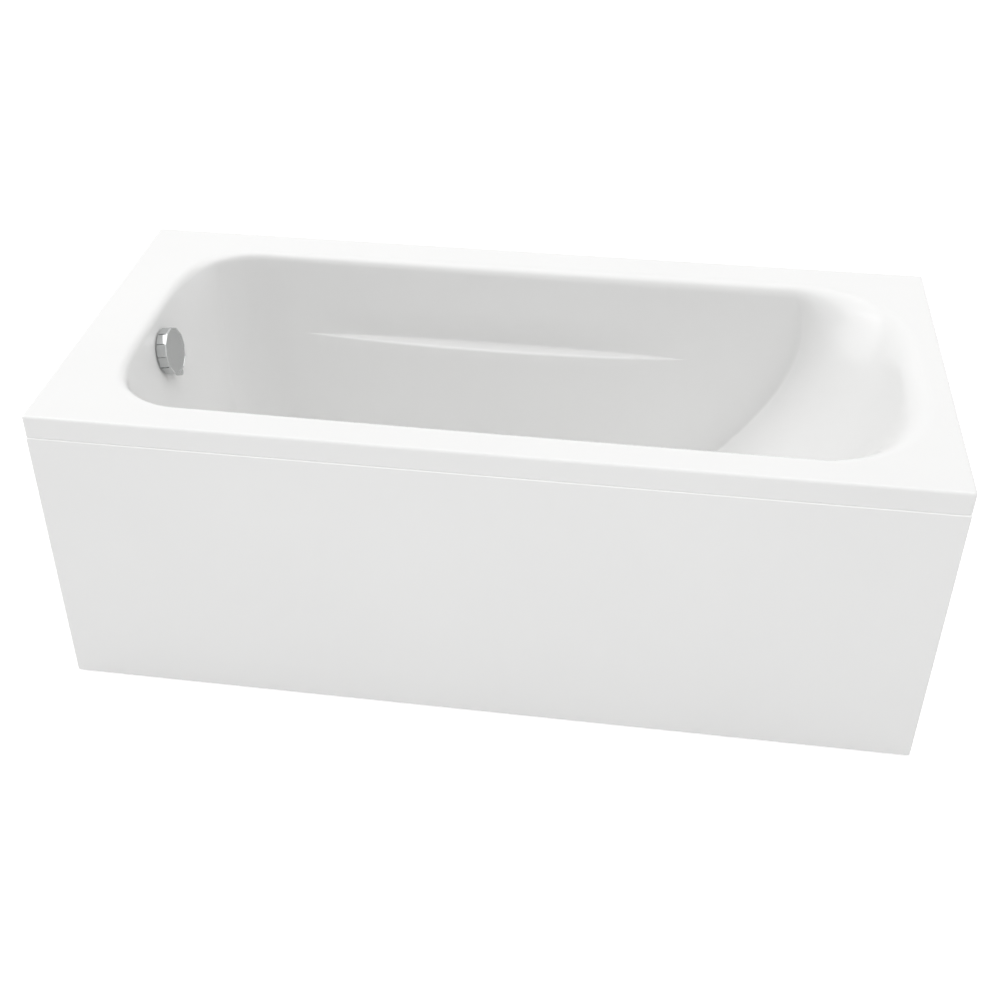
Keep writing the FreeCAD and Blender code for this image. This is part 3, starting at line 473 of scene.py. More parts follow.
# %% Sizes of the basin
shell_low, shell_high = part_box("bath_shell")
rim_z = shell_high.z
rim_front, rim_back, rim_foot, rim_head = 57 * mm, 71 * mm, 96 * mm, 55 * mm
lip_r, floor_r, skin = 14 * mm, 50 * mm, 6 * mm
lip_foot, lip_head = 15 * mm, 26 * mm
skirt_height, basin_depth = 40 * mm, 415 * mm
wall_top, floor_z = rim_z - lip_r, rim_z - basin_depth
wall_depth = wall_top - floor_z
mid_y = (rim_front - rim_back) / 2
half_top = (shell_high.y - shell_low.y - rim_front - rim_back) / 2 - lip_r
foot_x = shell_low.x + rim_foot + lip_r
head_x = shell_high.x - rim_head - lip_r
ledge_x, ledge_half, ledge_depth = -53 * mm, 378 * mm, 144 * mm
ledge_hollow, ledge_swell = 11 * mm, 18 * mm
side_draft, foot_draft, head_rake, head_sweep = 0.15, 0.17, 202 * mm, 104 * mm
foot_corner, foot_bulge, foot_scoop = 125 * mm, 20 * mm, 21.6 * mm
head_bulge, head_scoop = 40 * mm, 129 * mm
waste = Vector((-450 * mm, mid_y, 0.0))
print("basin half width", round(half_top, 4), "from x", round(foot_x, 3), "to", round(head_x, 3))


# %% [markdown]
# A line drawn by a formula has its points bunched where it bends. Spacing them evenly along the
# line gives tidy quads, and lets every level have the same number of points.

# %% Even points and soft corners
def spread(line, count, trim):
    """Evenly spaced points on a line, leaving a short trim off both of its ends."""
    run = np.concatenate([[0.0], np.cumsum(np.hypot(*np.diff(line, axis=0).T))])
    at = np.linspace(trim, run[-1] - trim, count + 1)
    return np.column_stack([np.interp(at, run, line[:, k]) for k in (0, 1)])


def rounded(before, corner, after, count=6):
    """Points of a soft corner between two lines."""
    s = np.linspace(0.0, 1.0, count + 1)[1:-1, None]
    return (1 - s) ** 2 * before + 2 * s * (1 - s) * corner + s ** 2 * after


# %% The ends and the side walls
def end_line(x_end, bulge, reach, fullness, flare, side):
    """A basin end from its back crease to its front crease."""
    across = np.sin(np.linspace(math.pi / 2, -math.pi / 2, 401)) / flare
    along = np.maximum(0.0, 1 - np.abs(across) ** fullness) ** (1 / fullness)
    deep = bulge / (1 - (1 - flare ** -fullness) ** (1 / fullness))
    return np.column_stack([x_end - side * deep * (1 - along), mid_y + reach * flare * across])


def side_wall(side, half, bow, head_crease, foot_crease, corner, turn):
    """A side wall from the head crease, past the arm ledge, round the corner to the foot."""
    far = foot_crease[0] + corner * math.sin(turn)
    x = np.linspace(head_crease[0], far, 400)
    belly = np.maximum(0.0, 1 - ((x - ledge_x) / ledge_half) ** 2)
    wall = np.column_stack([x, mid_y + side * (half + bow * belly)])
    a = np.linspace(0.0, turn, 40)[1:]
    bend = np.column_stack([far - corner * np.sin(a),
                            mid_y + side * (half - corner * (1 - np.cos(a)))])
    return np.vstack([wall, bend])


# %% One outline of the basin
def outline(depth, out=0.0, bow=0.0, crease_r=5 * mm):
    """The basin's outline at a depth below the top of its walls, as rows of x and y."""
    t = max(0.0, depth / wall_depth)
    fade, sharp = (1 - t) ** 3, (1 - t) ** 8
    half = half_top - side_draft * depth + out
    turn = math.radians(45 + 13 * t)
    corner = foot_corner + out
    foot_reach = half - corner * (1 - math.cos(turn))
    head = end_line(head_x - head_rake * t - head_sweep * t * t + out,
                    head_bulge + head_scoop * fade + out / 4, half,
                    2 + 1.4 * sharp, 1.000001 + 1.5 * t, 1)
    foot = end_line(foot_x + foot_draft * depth - out, foot_bulge + foot_scoop * fade + out / 4,
                    foot_reach, 2 + 2 * sharp, 1.1555 + 3 * t, -1)
    back = side_wall(1, half, bow, head[0], foot[0], corner, turn)
    front = side_wall(-1, half, bow, head[-1], foot[-1], corner, turn)[::-1]
    lines = [(back, 96), (foot, 56), (front, 96), (head[::-1], 64)]
    runs = [spread(line, count, crease_r) for line, count in lines]
    rows = []
    for (line, _), run, after in zip(lines, runs, runs[1:] + runs[:1]):
        rows += [run, rounded(run[-1], line[-1], after[0])]
    return np.vstack(rows)


around = len(outline(0.0))
print(around, "points round the basin")


# %% [markdown]
# The walls are a list of levels. The lip rolls from the flat rim into the slope of the wall below
# it, tighter at the foot end, wider at the head end, and deepest in the two scooped corners. The
# arm ledge is made by bowing the middle of each side wall out above it and in below it, so the
# step between the two is widest in the middle and dies away at both ends. Small arcs soften its
# inner corner and its edge.

# %% The lip
def quarter(steps):
    """The angles of a quarter turn, in even steps."""
    return [math.pi / 2 * k / steps for k in range(steps + 1)]


def lip_loops(out, drop):
    """From the flat rim over the lip, in a curve that ends along the wall's slope."""
    step = 6 * mm
    walls = np.array([outline(k * step, out) for k in range(6)])
    wider = outline(0.0, out + 5 * mm) - walls[0]
    outward = wider / np.linalg.norm(wider, axis=1)[:, None]
    along = np.clip((walls[0][:, :1] - foot_x) / (head_x - foot_x), 0.0, 1.0)
    reach = lip_foot + (lip_head - lip_foot) * along - 0.8 * out
    scooped = np.clip(np.linalg.norm(walls[2] - walls[0], axis=1)[:, None] / step - 1.0, 0.0, 1.0)
    depth = np.maximum(0.0, 0.95 * reach - lip_r) * (1 - scooped) + lip_head * scooped
    k = (depth[:, 0] / step).astype(int)
    upper, lower = walls[k, range(around)], walls[k + 1, range(around)]
    slope = (lower - upper) / step
    end = upper + slope * (depth - k[:, None] * step)
    corner = end - slope * (depth + lip_r)
    start = corner + outward * reach
    loops = [[Vector((x, y, rim_z - drop)) for x, y in start + outward * mm]]
    for s in np.linspace(0.0, 1.0, 13):
        flat = (1 - s) ** 2 * start + 2 * s * (1 - s) * corner + s ** 2 * end
        z = rim_z - drop - s * s * (depth + lip_r)
        loops.append([Vector(p) for p in np.hstack([flat, z])])
    return loops


# %% Levels of the walls and floor
def wall_levels():
    """From the lip down past the ledge to the floor's rounding: depth and bow."""
    inner_r, edge_r, bow_from = 5 * mm, 5 * mm, 98 * mm
    levels = [(wall_depth * s, 0.0) for s in (0.08, 0.13, 0.18)]
    for s in (0.0, 0.25, 0.5, 0.75):
        levels.append((bow_from + (ledge_depth - inner_r - bow_from) * s, ledge_hollow * s))
    levels += [(ledge_depth - inner_r * (1 - math.sin(a)),
                ledge_hollow - inner_r * (1 - math.cos(a))) for a in quarter(5)]
    levels += [(ledge_depth + edge_r * (1 - math.cos(a)),
                -ledge_swell + edge_r * (1 - math.sin(a))) for a in quarter(5)]
    start, end = ledge_depth + edge_r, wall_depth - floor_r
    for s in (0.1, 0.25, 0.4, 0.55, 0.7, 0.85):
        share = 1 - s * s * (3 - 2 * s)
        levels.append((start + (end - start) * s, -ledge_swell * share))
    return levels


def floor_levels():
    """The rounding into the floor: depth and growth."""
    return [(wall_depth - floor_r * (1 - math.sin(a)), -floor_r * (1 - math.cos(a)))
            for a in quarter(10)]


print(len(lip_loops(0.0, 0.0)) + len(wall_levels()) + len(floor_levels()), "levels in the walls")


# %% [markdown]
# ## Growing the shell
# A circle with the right number of points is moved onto the first outline. Its edges are then
# extruded, and the new points are put on the next outline, again and again, down to the waste
# hole. The skirt is grown the same way from a rounded rectangle. The flat of the rim, between
# the two, is filled by the triangle fill. The hidden side follows a wall's thickness further out.

# %% Grow a mesh from loop to loop
def first_loop(bm, points):
    """A closed loop of edges, made of a circle whose vertices are put at the points."""
    loop = bmesh.ops.create_circle(bm, segments=len(points), radius=1.0)["verts"]
    for vertex, point in zip(loop, points):
        vertex.co = point
    return loop


def loop_edges(bm, loop):
    """The edges between the vertices of a closed loop."""
    return [bm.edges.get(pair) for pair in zip(loop, loop[1:] + loop[:1])]


def next_loop(bm, loop, points):
    """Extrudes a closed loop and puts each new vertex at its point."""
    made = set(bmesh.ops.extrude_edge_only(bm, edges=loop_edges(bm, loop))["geom"])
    following = []
    for vertex, point in zip(loop, points):
        twins = [e.other_vert(vertex) for e in vertex.link_edges if e.other_vert(vertex) in made]
        twins[0].co = point
        following.append(twins[0])
    return following


def grow(bm, loops):
    """Grows a skin through a list of loops, and returns its first and last loop."""
    first = loop = first_loop(bm, loops[0])
    for points in loops[1:]:
        loop = next_loop(bm, loop, points)
    return first, loop


def at_height(rows, z):
    """Rows of x and y as points at one height."""
    return [Vector((x, y, z)) for x, y in rows]


# %% Loops of the inside, skirt and hidden side
def round_waste(rows, radius, z):
    """A circle round the waste with one point towards each point of the outline."""
    flat = [Vector((x - waste.x, y - waste.y, 0.0)).normalized() * radius for x, y in rows]
    return [waste + p + Vector((0.0, 0.0, z)) for p in flat]


def basin_loops(out, drop, dish):
    """Every loop of one side of the shell. Out is how far outside the inner face it lies."""
    loops = lip_loops(out, drop)
    loops += [at_height(outline(d, out, b), wall_top - d - drop) for d, b in wall_levels()]
    loops += [at_height(outline(d, out + g), wall_top - d - drop) for d, g in floor_levels()]
    edge = outline(wall_depth, out - floor_r - mm)
    floor = floor_z - drop
    loops.append(at_height(edge, floor))
    return loops + [round_waste(edge, r, floor - fall) for r, fall in dish]


inner_dish = [(r * mm, f * mm) for r, f in
              ((46, 0), (43, 0.1), (41.5, 0.8), (39, 3.2), (37.5, 3.9), (36, 4), (28, 4))]
outer_dish = [(r * mm, f * mm) for r, f in
              ((54, 0), (50, 0.1), (48.5, 0.6), (45, 3.6), (43, 4), (28, 4))]


def rectangle(inset, z, r):
    """The outer rectangle of the shell, drawn in by an inset, with rounded corners."""
    points = []
    for sx, sy, turn in ((1, 1, 0), (-1, 1, 1), (-1, -1, 2), (1, -1, 3)):
        x = (shell_high.x - inset - r) * sx
        y = (shell_high.y - inset - r) * sy
        for a in quarter(6):
            angle = a + turn * math.pi / 2
            points.append(Vector((x + r * math.cos(angle), y + r * math.sin(angle), z)))
    return points


def skirt_loops():
    """From the flat of the rim over its edge, down the skirt and up again inside it."""
    corner_r, edge_r, foot_r, wall = 6 * mm, 4.5 * mm, 0.3 * mm, 4 * mm
    foot, under = rim_z - skirt_height, rim_z - skin
    levels = [(edge_r + mm, rim_z)]
    levels += [(edge_r * (1 - math.sin(a)), rim_z - edge_r * (1 - math.cos(a))) for a in quarter(8)]
    levels += [(0.0, rim_z - edge_r - mm), (0.0, foot + foot_r + mm)]
    levels += [(foot_r * (1 - math.cos(a)), foot + foot_r * (1 - math.sin(a))) for a in quarter(4)]
    levels += [(wall - foot_r * (1 - math.sin(a)), foot + foot_r * (1 - math.cos(a)))
               for a in quarter(4)]
    levels += [(wall, under - 3 * mm), (wall + 0.9 * mm, under - 0.9 * mm), (wall + 3 * mm, under)]
    return [rectangle(inset, z, max(corner_r - inset, 0.4 * mm)) for inset, z in levels]


print(len(skirt_loops()), "loops in the skirt, and", len(inner_dish), "round the waste")


# %% The shell in one closed mesh
def bath_shell():
    """White inside and skirt, and a hidden side one skin further out, closed at rim and waste."""
    bm = bmesh.new()
    inside_top, inside_hole = grow(bm, basin_loops(0.0, 0.0, inner_dish))
    skirt_top, skirt_under = grow(bm, skirt_loops())
    bmesh.ops.triangle_fill(
        bm, edges=loop_edges(bm, inside_top) + loop_edges(bm, skirt_top), use_beauty=True)
    white_faces = set(bm.faces)
    outside_top, outside_hole = grow(bm, basin_loops(skin, skin, outer_dish))
    bmesh.ops.triangle_fill(
        bm, edges=loop_edges(bm, outside_top) + loop_edges(bm, skirt_under), use_beauty=True)
    bmesh.ops.bridge_loops(bm, edges=loop_edges(bm, inside_hole) + loop_edges(bm, outside_hole))
    for face in bm.faces:
        face.material_index = 0 if face in white_faces else 1
    bmesh.ops.recalc_face_normals(bm, faces=bm.faces)
    open_edges = [e for e in bm.edges if len(e.link_faces) != 2]
    print("open edges in the shell:", len(open_edges), "volume", round(bm.calc_volume(), 5), "m3")
    return finish_piece(bm, "bath_shell_moulding", ["bath_shell"],
                        [finishes["white_acrylic"], hidden_side], 50.0)


bath_shell()


# %% [markdown]
# ## The front panel
# The panel is a tray moulding: a flat face whose four edges turn back to stiffen it. A box with
# its back face taken off and its front edges rounded gives the tray, and Solidify gives the
# sheet its thickness towards the inside.

# %% Box-shaped starts
def box_mesh(low, high):
    """A box between two corners."""
    bm = bmesh.new()
    bmesh.ops.create_cube(bm, size=1.0)
    size, middle = Vector(high) - Vector(low), (Vector(high) + Vector(low)) / 2
    bmesh.ops.scale(bm, vec=size, verts=bm.verts)
    bmesh.ops.translate(bm, vec=middle, verts=bm.verts)
    return bm


def soften(bm, edges, width, segments=3):
    """Rounds edges over a width."""
    return bmesh.ops.bevel(bm, geom=edges, offset=width, segments=segments, profile=0.5,
                           affect="EDGES", material=-1)


# %% The panel
def front_panel():
    low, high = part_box("front_panel")
    bm = box_mesh(low, high + Vector((0.0, 0.0, 0.3 * mm)))
    bmesh.ops.delete(bm, geom=[f for f in bm.faces if f.normal.y > 0.9], context="FACES")
    edges = [e for e in bm.edges if len(e.link_faces) == 2]
    soften(bm, edges, 3.5 * mm, 7)
    piece = finish_piece(bm, "front_panel_moulding", ["front_panel"])
    wall = piece.modifiers.new("sheet", "SOLIDIFY")
    wall.thickness = 3 * mm
    wall.offset = -1.0
    wall.use_quality_normals = True
    return piece


front_panel()


# %% [markdown]
# ## The overflow knob
# The chrome knob is a twelve-sided grip with a groove at each corner and a small round pointer at
# the bottom. It is drawn round its own axis first, as loops whose radius follows the twelve
# sides, and then set on the axis of the end wall, which leans back a little. The grip is a few
# millimetres wider and deeper than its solid, as it looks in the photograph.

# %% Outline of the grip
knob_r, knob_back, knob_front = 43.5 * mm, 2.2 * mm, 22 * mm
knob_tilt, knob_z = math.atan(foot_draft), rim_z - 70 * mm
knob_at = Vector((foot_x + foot_draft * (wall_top - knob_z), mid_y, knob_z))
on_wall = Matrix.Translation(knob_at) @ Matrix.Rotation(-knob_tilt, 4, "Y")
print("the knob leans", round(math.degrees(knob_tilt), 2), "degrees at height", round(knob_z, 3))


def grip_loop(x, inset, groove, sides=12):
    """One loop of the grip at x along its axis, drawn in by inset, with grooves so deep."""
    offsets = [0.0, 0.6, 1.0, 1.25, 1.5, 2.0, 3.2, 6.5]
    depths = [1.0, 1.0, 0.94, 0.35, 0.06, 0.0, 0.0, 0.0]
    half = math.pi / sides
    flat = knob_r * math.cos(half)
    points = []
    for k in range(sides):
        centre = 2 * half * (k + 0.5)
        turns = [(-math.asin(o * mm / knob_r), d) for o, d in zip(offsets[:0:-1], depths[:0:-1])]
        turns += [(math.asin(o * mm / knob_r), d) for o, d in zip(offsets, depths)]
        turns.append((half, 0.0))
        for turn, depth in turns:
            r = flat / math.cos(half - abs(turn)) - inset - groove * depth
            angle = centre + turn
            points.append(Vector((x, r * math.cos(angle), r * math.sin(angle))))
    return points


# %% The grip and its pointer
def overflow_grip():
    chamfer, cut = 1.8 * mm, 2.6 * mm
    levels = [(knob_back, 1.2 * mm, cut), (knob_back + 0.4 * mm, 0.4 * mm, cut),
              (knob_back + 1.2 * mm, 0.0, cut), (knob_front - 3.9 * mm, 0.0, cut),
              (knob_front - 3.2 * mm, 0.0, 0.6 * cut), (knob_front - 2.7 * mm, 0.0, 0.0)]
    levels += [(knob_front - chamfer * (1 - math.sin(a)), chamfer * (1 - math.cos(a)), 0.0)
               for a in quarter(5)]
    levels += [(knob_front, chamfer + 0.9 * mm, 0.0),
               (knob_front - 0.9 * mm, chamfer + 1.3 * mm, 0.0),
               (knob_front - 1.0 * mm, chamfer + 2.2 * mm, 0.0)]
    bm = bmesh.new()
    back, front = grow(bm, [grip_loop(*level) for level in levels])
    inner = next_loop(bm, back, [Vector((knob_back, p.co.y * 0.86, p.co.z * 0.86)) for p in back])
    deep = next_loop(bm, inner, [Vector((knob_front - 3 * mm, p.co.y, p.co.z)) for p in inner])
    bmesh.ops.contextual_create(bm, geom=loop_edges(bm, front))
    bmesh.ops.contextual_create(bm, geom=loop_edges(bm, deep))
    lug_r, lug_at = 6.5 * mm, Matrix.Translation((14.5 * mm, 0, -knob_r - 2 * mm))
    lug = bmesh.ops.create_cone(
        bm, cap_ends=True, segments=40, radius1=lug_r, radius2=lug_r, depth=12 * mm,
        matrix=lug_at @ Matrix.Rotation(math.pi / 2, 4, "Y"))["verts"]
    rims = {e for v in lug for e in v.link_edges if e.calc_face_angle(0.0) > 1.0}
    soften(bm, list(rims), 1.4 * mm, 4)
    bmesh.ops.recalc_face_normals(bm, faces=bm.faces)
    bmesh.ops.transform(bm, matrix=on_wall, verts=bm.verts)
    return finish_piece(bm, "overflow_grip", ["overflow_knob"])


overflow_grip()


# %% [markdown]
# ## Boards and battens
# Sawn timber has its arrises eased by hand, so each board is a box with a small round on every
# edge. The base board also has rounded corners.

# %% Battens, stiffener and base board
def board(node, ease=1.2 * mm, corner=0.0):
    """A box in the node's space with its arrises eased, and its upright corners rounded."""
    bm = box_mesh(*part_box(node))
    if corner:
        upright = [e for e in bm.edges if abs(e.verts[0].co.z - e.verts[1].co.z) > mm]
        soften(bm, upright, corner, 10)
    edges = [e for e in bm.edges if e.calc_face_angle(0.0) > 0.8]
    soften(bm, edges, ease)
    return finish_piece(bm, node + "_wood", [node])


for name in ("front_rim_batten", "back_rim_batten", "panel_stiffener"):
    board(name)
board("base_board", 0.8 * mm, 20 * mm)


# %% [markdown]
# ## Pipe, studs and pads
# The hidden plumbing is smooth plastic. The overflow pipe follows three straight runs with a bend
# between each pair, so a circle is swept along them with the spin operator at the bends, and the
# cable beside it is made the same way. The feet stand on threaded studs: one tooth of the thread
# is spun and lifted by its pitch at each turn.

# %% Pipe along runs and bends
def swept_pipe(path, bend, r, sides=40):
    """A pipe along straight runs, bent to a radius at each corner."""
    bm = bmesh.new()
    here, along = path[0], (path[1] - path[0]).normalized()
    turn_to = Vector((0, 0, 1)).rotation_difference(along).to_matrix().to_4x4()
    ring = bmesh.ops.create_circle(
        bm, segments=sides, radius=r, matrix=Matrix.Translation(here) @ turn_to)["verts"]
    edges = loop_edges(bm, ring)
    for corner, after in zip(path[1:], path[2:] + [None]):
        out = (after - corner).normalized() if after else along
        turn = along.angle(out)
        cut = bend * math.tan(turn / 2)
        made = bmesh.ops.extrude_edge_only(bm, edges=edges)["geom"]
        fresh = [v for v in made if isinstance(v, bmesh.types.BMVert)]
        bmesh.ops.translate(bm, verts=fresh, vec=corner - along * cut - here)
        edges = [e for e in made
                 if isinstance(e, bmesh.types.BMEdge) and set(e.verts) <= set(fresh)]
        if after:
            axis = along.cross(out).normalized()
            centre = corner - along * cut + axis.cross(along) * bend
            spun = bmesh.ops.spin(bm, geom=edges, cent=centre, axis=axis, angle=turn, steps=12)
            edges = [e for e in spun["geom_last"] if isinstance(e, bmesh.types.BMEdge)]
            here, along = corner + out * cut, out
    bmesh.ops.remove_doubles(bm, verts=bm.verts, dist=0.01 * mm)
    bmesh.ops.recalc_face_normals(bm, faces=bm.faces)
    return bm


# %% The overflow pipe and the cable
def overflow_pipe():
    low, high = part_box("overflow_pipe")
    r, slant = 16 * mm, 45 * mm
    x, z = low.x + r, low.z + r
    path = [Vector((x, mid_y, high.z)), Vector((x, mid_y, z + slant)),
            Vector((x + slant, mid_y, z)), Vector((high.x, mid_y, z))]
    piece = finish_piece(swept_pipe(path, 24 * mm, r), "overflow_pipe_bent", ["overflow_pipe"])
    wall = piece.modifiers.new("wall", "SOLIDIFY")
    wall.thickness = 3.1 * mm
    wall.offset = -1.0
    return piece


def bowden_cable():
    low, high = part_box("bowden_cable")
    r = 2.8 * mm
    near, far = low + Vector((r, r, r)), high - Vector((r, 0.0, r))
    path = [Vector((near.x, far.y, far.z)), Vector((near.x, near.y, far.z)), near,
            Vector((far.x, near.y, near.z)), Vector((far.x, far.y - mm, near.z))]
    bm = swept_pipe(path, 32 * mm, r, 20)
    bmesh.ops.holes_fill(bm, edges=[e for e in bm.edges if e.is_boundary], sides=0)
    return finish_piece(bm, "bowden_cable_bent", ["bowden_cable"])


overflow_pipe()
bowden_cable()


# %% Threaded studs
def threaded_stud(node, pitch=1.75 * mm, steps=24):
    low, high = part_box(node)
    r, centre = (high.x - low.x) / 2, (low + high) / 2
    core = r - 0.9 * mm
    turns = int((high.z - low.z) / pitch)
    bm = bmesh.new()
    tooth = [(core, 0.0), (core, 0.12), (r, 0.44), (r, 0.56), (core, 0.88), (core, 1.0)]
    points = [bm.verts.new((radius, 0.0, share * pitch)) for radius, share in tooth]
    edges = [bm.edges.new(pair) for pair in zip(points, points[1:])]
    bmesh.ops.spin(bm, geom=points + edges, cent=(0, 0, 0), axis=(0, 0, 1),
                   dvec=(0, 0, pitch / steps), angle=2 * math.pi, steps=steps)
    one_turn = list(bm.verts) + list(bm.edges) + list(bm.faces)
    for k in range(1, turns - 1):
        copied = bmesh.ops.duplicate(bm, geom=one_turn)["geom"]
        bmesh.ops.translate(bm, vec=(0, 0, k * pitch),
                            verts=[v for v in copied if isinstance(v, bmesh.types.BMVert)])
    bmesh.ops.remove_doubles(bm, verts=bm.verts, dist=0.01 * mm)
    bmesh.ops.translate(bm, vec=(centre.x, centre.y, low.z), verts=bm.verts)
    top = bmesh.ops.create_cone(
        bm, cap_ends=True, segments=steps, radius1=core * 0.99, radius2=core * 0.99,
        depth=high.z - low.z, matrix=Matrix.Translation(centre))["verts"]
    ends = list({e for v in top for e in v.link_edges if e.calc_face_angle(0.0) > 1.0})
    soften(bm, ends, 0.8 * mm)
    bmesh.ops.recalc_face_normals(bm, faces=bm.faces)
    return finish_piece(bm, node + "_threaded", [node], sharp=60.0)


# %% Foot pads
def turned(profile, steps=48):
    """A (radius, height) outline spun about the Z axis."""
    bm = bmesh.new()
    points = [bm.verts.new((r, 0.0, z)) for r, z in profile]
    edges = [bm.edges.new(pair) for pair in zip(points, points[1:])]
    bmesh.ops.spin(bm, geom=points + edges, cent=(0, 0, 0), axis=(0, 0, 1),
                   angle=2 * math.pi, steps=steps, use_merge=True)
    bmesh.ops.remove_doubles(bm, verts=bm.verts, dist=0.005 * mm)
    bmesh.ops.recalc_face_normals(bm, faces=bm.faces)
    return bm


def foot_pad(node):
    low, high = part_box(node)
    r, h, neck = (high.x - low.x) / 2, high.z - low.z, 11 * mm
    profile = [(0.0, 0.0), (r - 1.5 * mm, 0.0), (r - 0.4 * mm, 0.4 * mm), (r, 1.5 * mm),
               (r, 5.6 * mm), (r - 0.5 * mm, 6.9 * mm), (r - 1.8 * mm, 7.6 * mm),
               (neck + 3.0 * mm, 8.2 * mm), (neck + 0.8 * mm, 9.2 * mm), (neck, 11.0 * mm),
               (neck, h - 0.8 * mm), (neck - 0.8 * mm, h), (0.0, h)]
    bm = turned(profile, 60)
    middle = (low + high) / 2
    bmesh.ops.translate(bm, vec=(middle.x, middle.y, low.z), verts=bm.verts)
    return finish_piece(bm, node + "_turned", [node])


for corner in ("foot_end_front", "foot_end_back", "head_end_front", "head_end_back", "centre"):
    threaded_stud(corner + "_foot_stud")
    foot_pad(corner + "_foot_pad")


# %% [markdown]
# ## Everything else keeps its own shape
# Brackets, nuts, screws, seals and fittings already have the right form, but their meshes are
# loose triangles with knife-sharp edges. A copy of each is merged, its flat triangles are
# dissolved into whole faces, and its sharp edges get a small round that catches the light.

# %% Finished copies of the remaining nodes
def finished_copy(node, ease):
    """The node's own mesh with whole faces and eased edges."""
    bm = bmesh.new()
    bm.from_mesh(frame["nodes"][node].data)
    bmesh.ops.remove_doubles(bm, verts=bm.verts, dist=0.005 * mm)
    bmesh.ops.dissolve_limit(bm, angle_limit=math.radians(1.0), verts=bm.verts, edges=bm.edges)
    edges = [e for e in bm.edges if len(e.link_faces) == 2 and e.calc_face_angle(0.0) > 0.6]
    bmesh.ops.bevel(bm, geom=edges, offset=ease, segments=2, profile=0.5, affect="EDGES",
                    clamp_overlap=True, material=-1)
    return finish_piece(bm, node + "_finished", [node])


eases = {"zinc_steel": 0.35 * mm, "white_fittings": 0.6 * mm, "rubber": 0.3 * mm,
         "brass": 0.3 * mm, "chrome": 0.4 * mm}
stood_for = {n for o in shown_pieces() for n in o.get("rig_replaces", [])}
for name in sorted(set(slot_of) - stood_for):
    finished_copy(name, eases[slot_of[name]])


# %% [markdown]
# ## Floor, light and camera
# The photograph is a plain studio shot on white. The floor and backdrop show white to the camera
# and to reflections, but light the bath only as a pale surface would, so the bath keeps its
# shadow and its shading. The floor lies a hair under the pads, so that the faces don't mix.

# %% What should see plain white
def white_to_camera(tree):
    """1 for rays that should see plain white, and 0 for rays that carry light."""
    path = add(tree, "LightPath").outputs
    seen = calc(tree, "ADD", path["Is Camera Ray"], path["Is Glossy Ray"])
    return calc(tree, "MINIMUM", calc(tree, "ADD", seen, path["Is Transmission Ray"]), 1.0)


# %% The floor
def studio_floor():
    bm = bmesh.new()
    bmesh.ops.create_grid(bm, x_segments=1, y_segments=1, size=9.0)
    bmesh.ops.translate(bm, vec=(0.0, 0.0, -0.2 * mm), verts=bm.verts)
    mesh = bpy.data.meshes.new("studio_floor")
    bm.to_mesh(mesh)
    bm.free()
    floor = bpy.data.objects.new("studio_floor", mesh)
    bpy.context.scene.collection.objects.link(floor)
    material = bpy.data.materials.new("studio_floor")
    material.use_nodes = True
    tree = material.node_tree
    tree.nodes.clear()
    matt = add(tree, "BsdfDiffuse", Color=(0.6, 0.6, 0.6, 1.0))
    glow = add(tree, "Emission", Color=(1.0, 1.0, 1.0, 1.0))
    fill(tree, glow.inputs["Strength"], calc(tree, "MULTIPLY", white_to_camera(tree), 0.7))
    both = add(tree, "AddShader")
    tree.links.new(matt.outputs[0], both.inputs[0])
    tree.links.new(glow.outputs[0], both.inputs[1])
    tree.links.new(both.outputs[0], add(tree, "OutputMaterial").inputs["Surface"])
    mesh.materials.append(material)


studio_floor()


# %% The world
world = bpy.data.worlds.new("studio")
bpy.context.scene.world = world
world.use_nodes = True
sky = world.node_tree.nodes["Background"]
sky.inputs["Color"].default_value = (1.0, 1.0, 1.0, 1.0)
seen_white = white_to_camera(world.node_tree)
fill(world.node_tree, sky.inputs["Strength"],
     between(world.node_tree, seen_white, 0.0, 1.0, 0.55, 1.0))
print("world:", world.name, "with", len(world.node_tree.nodes), "nodes")


# %% [markdown]
# The photograph is lit from a wide ceiling of light, with a lower lamp beyond the foot end, which
# makes the sloping head end brighter than the upright walls, and a weak lamp opposite, which sets
# off the foot end. A low strip in front lifts the panel. The lamps are large, so that the gloss
# shows no hard spots.

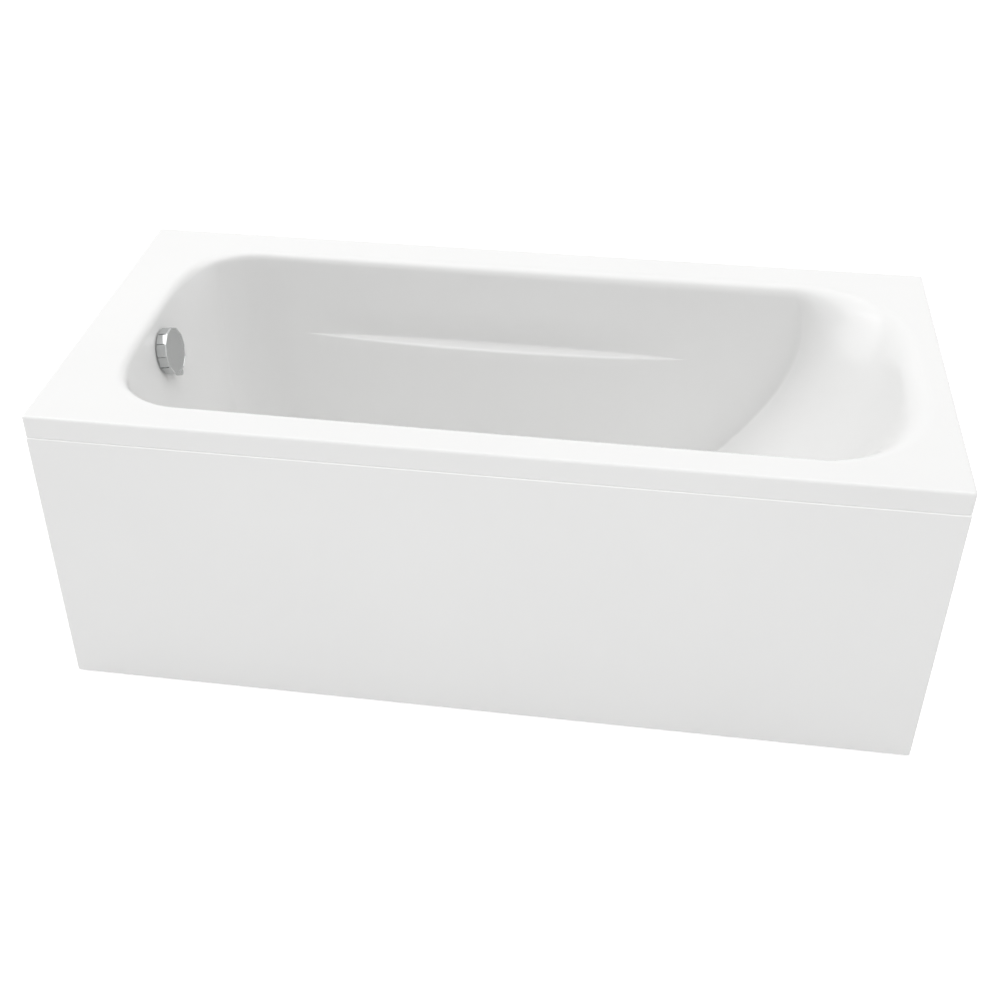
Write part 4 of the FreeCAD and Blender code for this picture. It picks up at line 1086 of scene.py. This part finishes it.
# %% Soft lamps
def soft_lamp(name, place, target, size, power):
    """A rectangle of light at a place, facing a target."""
    data = bpy.data.lights.new(name, "AREA")
    data.shape = "RECTANGLE"
    data.size, data.size_y = size
    data.energy = power
    lamp = bpy.data.objects.new(name, data)
    lamp.location = place
    lamp.rotation_euler = (Vector(target) - Vector(place)).to_track_quat("-Z", "Y").to_euler()
    bpy.context.scene.collection.objects.link(lamp)
    print(name, "gives", power, "W from", size[0], "x", size[1], "m")


above = (0.0, 0.0, 0.5)
soft_lamp("overhead", (0.0, 0.2, 4.3), above, (6.4, 4.6), 96.0)
soft_lamp("foot_side", (-4.4, 1.0, 3.5), above, (4.6, 4.6), 80.0)
soft_lamp("head_side", (2.6, 0.2, 3.0), above, (2.4, 2.4), 12.0)
soft_lamp("front", (0.2, -3.2, 0.3), (0.0, 0.0, 0.28), (4.4, 0.6), 30.5)


# %% [markdown]
# The camera was solved from the corners of the rim, skirt and panel in the photograph: where it
# stands, which way it looks, its focal length in pixels, and the small shift of its centre.

# %% Camera
focal_px, centre_px, frame_px, film = 1379.3, (463.4, 464.2), 1000.0, 36.0
eye = Vector((0.2405, -2.0881, 1.7933))
forward = Vector((-0.1228, 0.8055, -0.5797)).normalized()
right = Vector((0.9891, 0.1471, -0.0051))
right = (right - forward * right.dot(forward)).normalized()
up = right.cross(forward)
lens = bpy.data.cameras.new("photo_camera")
lens.sensor_width = film
lens.lens = focal_px / frame_px * film
lens.shift_x = 0.5 - centre_px[0] / frame_px
lens.shift_y = centre_px[1] / frame_px - 0.5
camera = bpy.data.objects.new("photo_camera", lens)
camera.matrix_world = Matrix.Translation(eye) @ Matrix((right, up, -forward)).transposed().to_4x4()
bpy.context.scene.collection.objects.link(camera)
bpy.context.scene.camera = camera
print("lens", round(lens.lens, 2), "mm, shift", round(lens.shift_x, 4), round(lens.shift_y, 4))


# %% [markdown]
# ## Finish
# The view transform is Standard, so a colour renders as it is written.

# %% Finish
bpy.context.scene.view_settings.view_transform = "Standard"
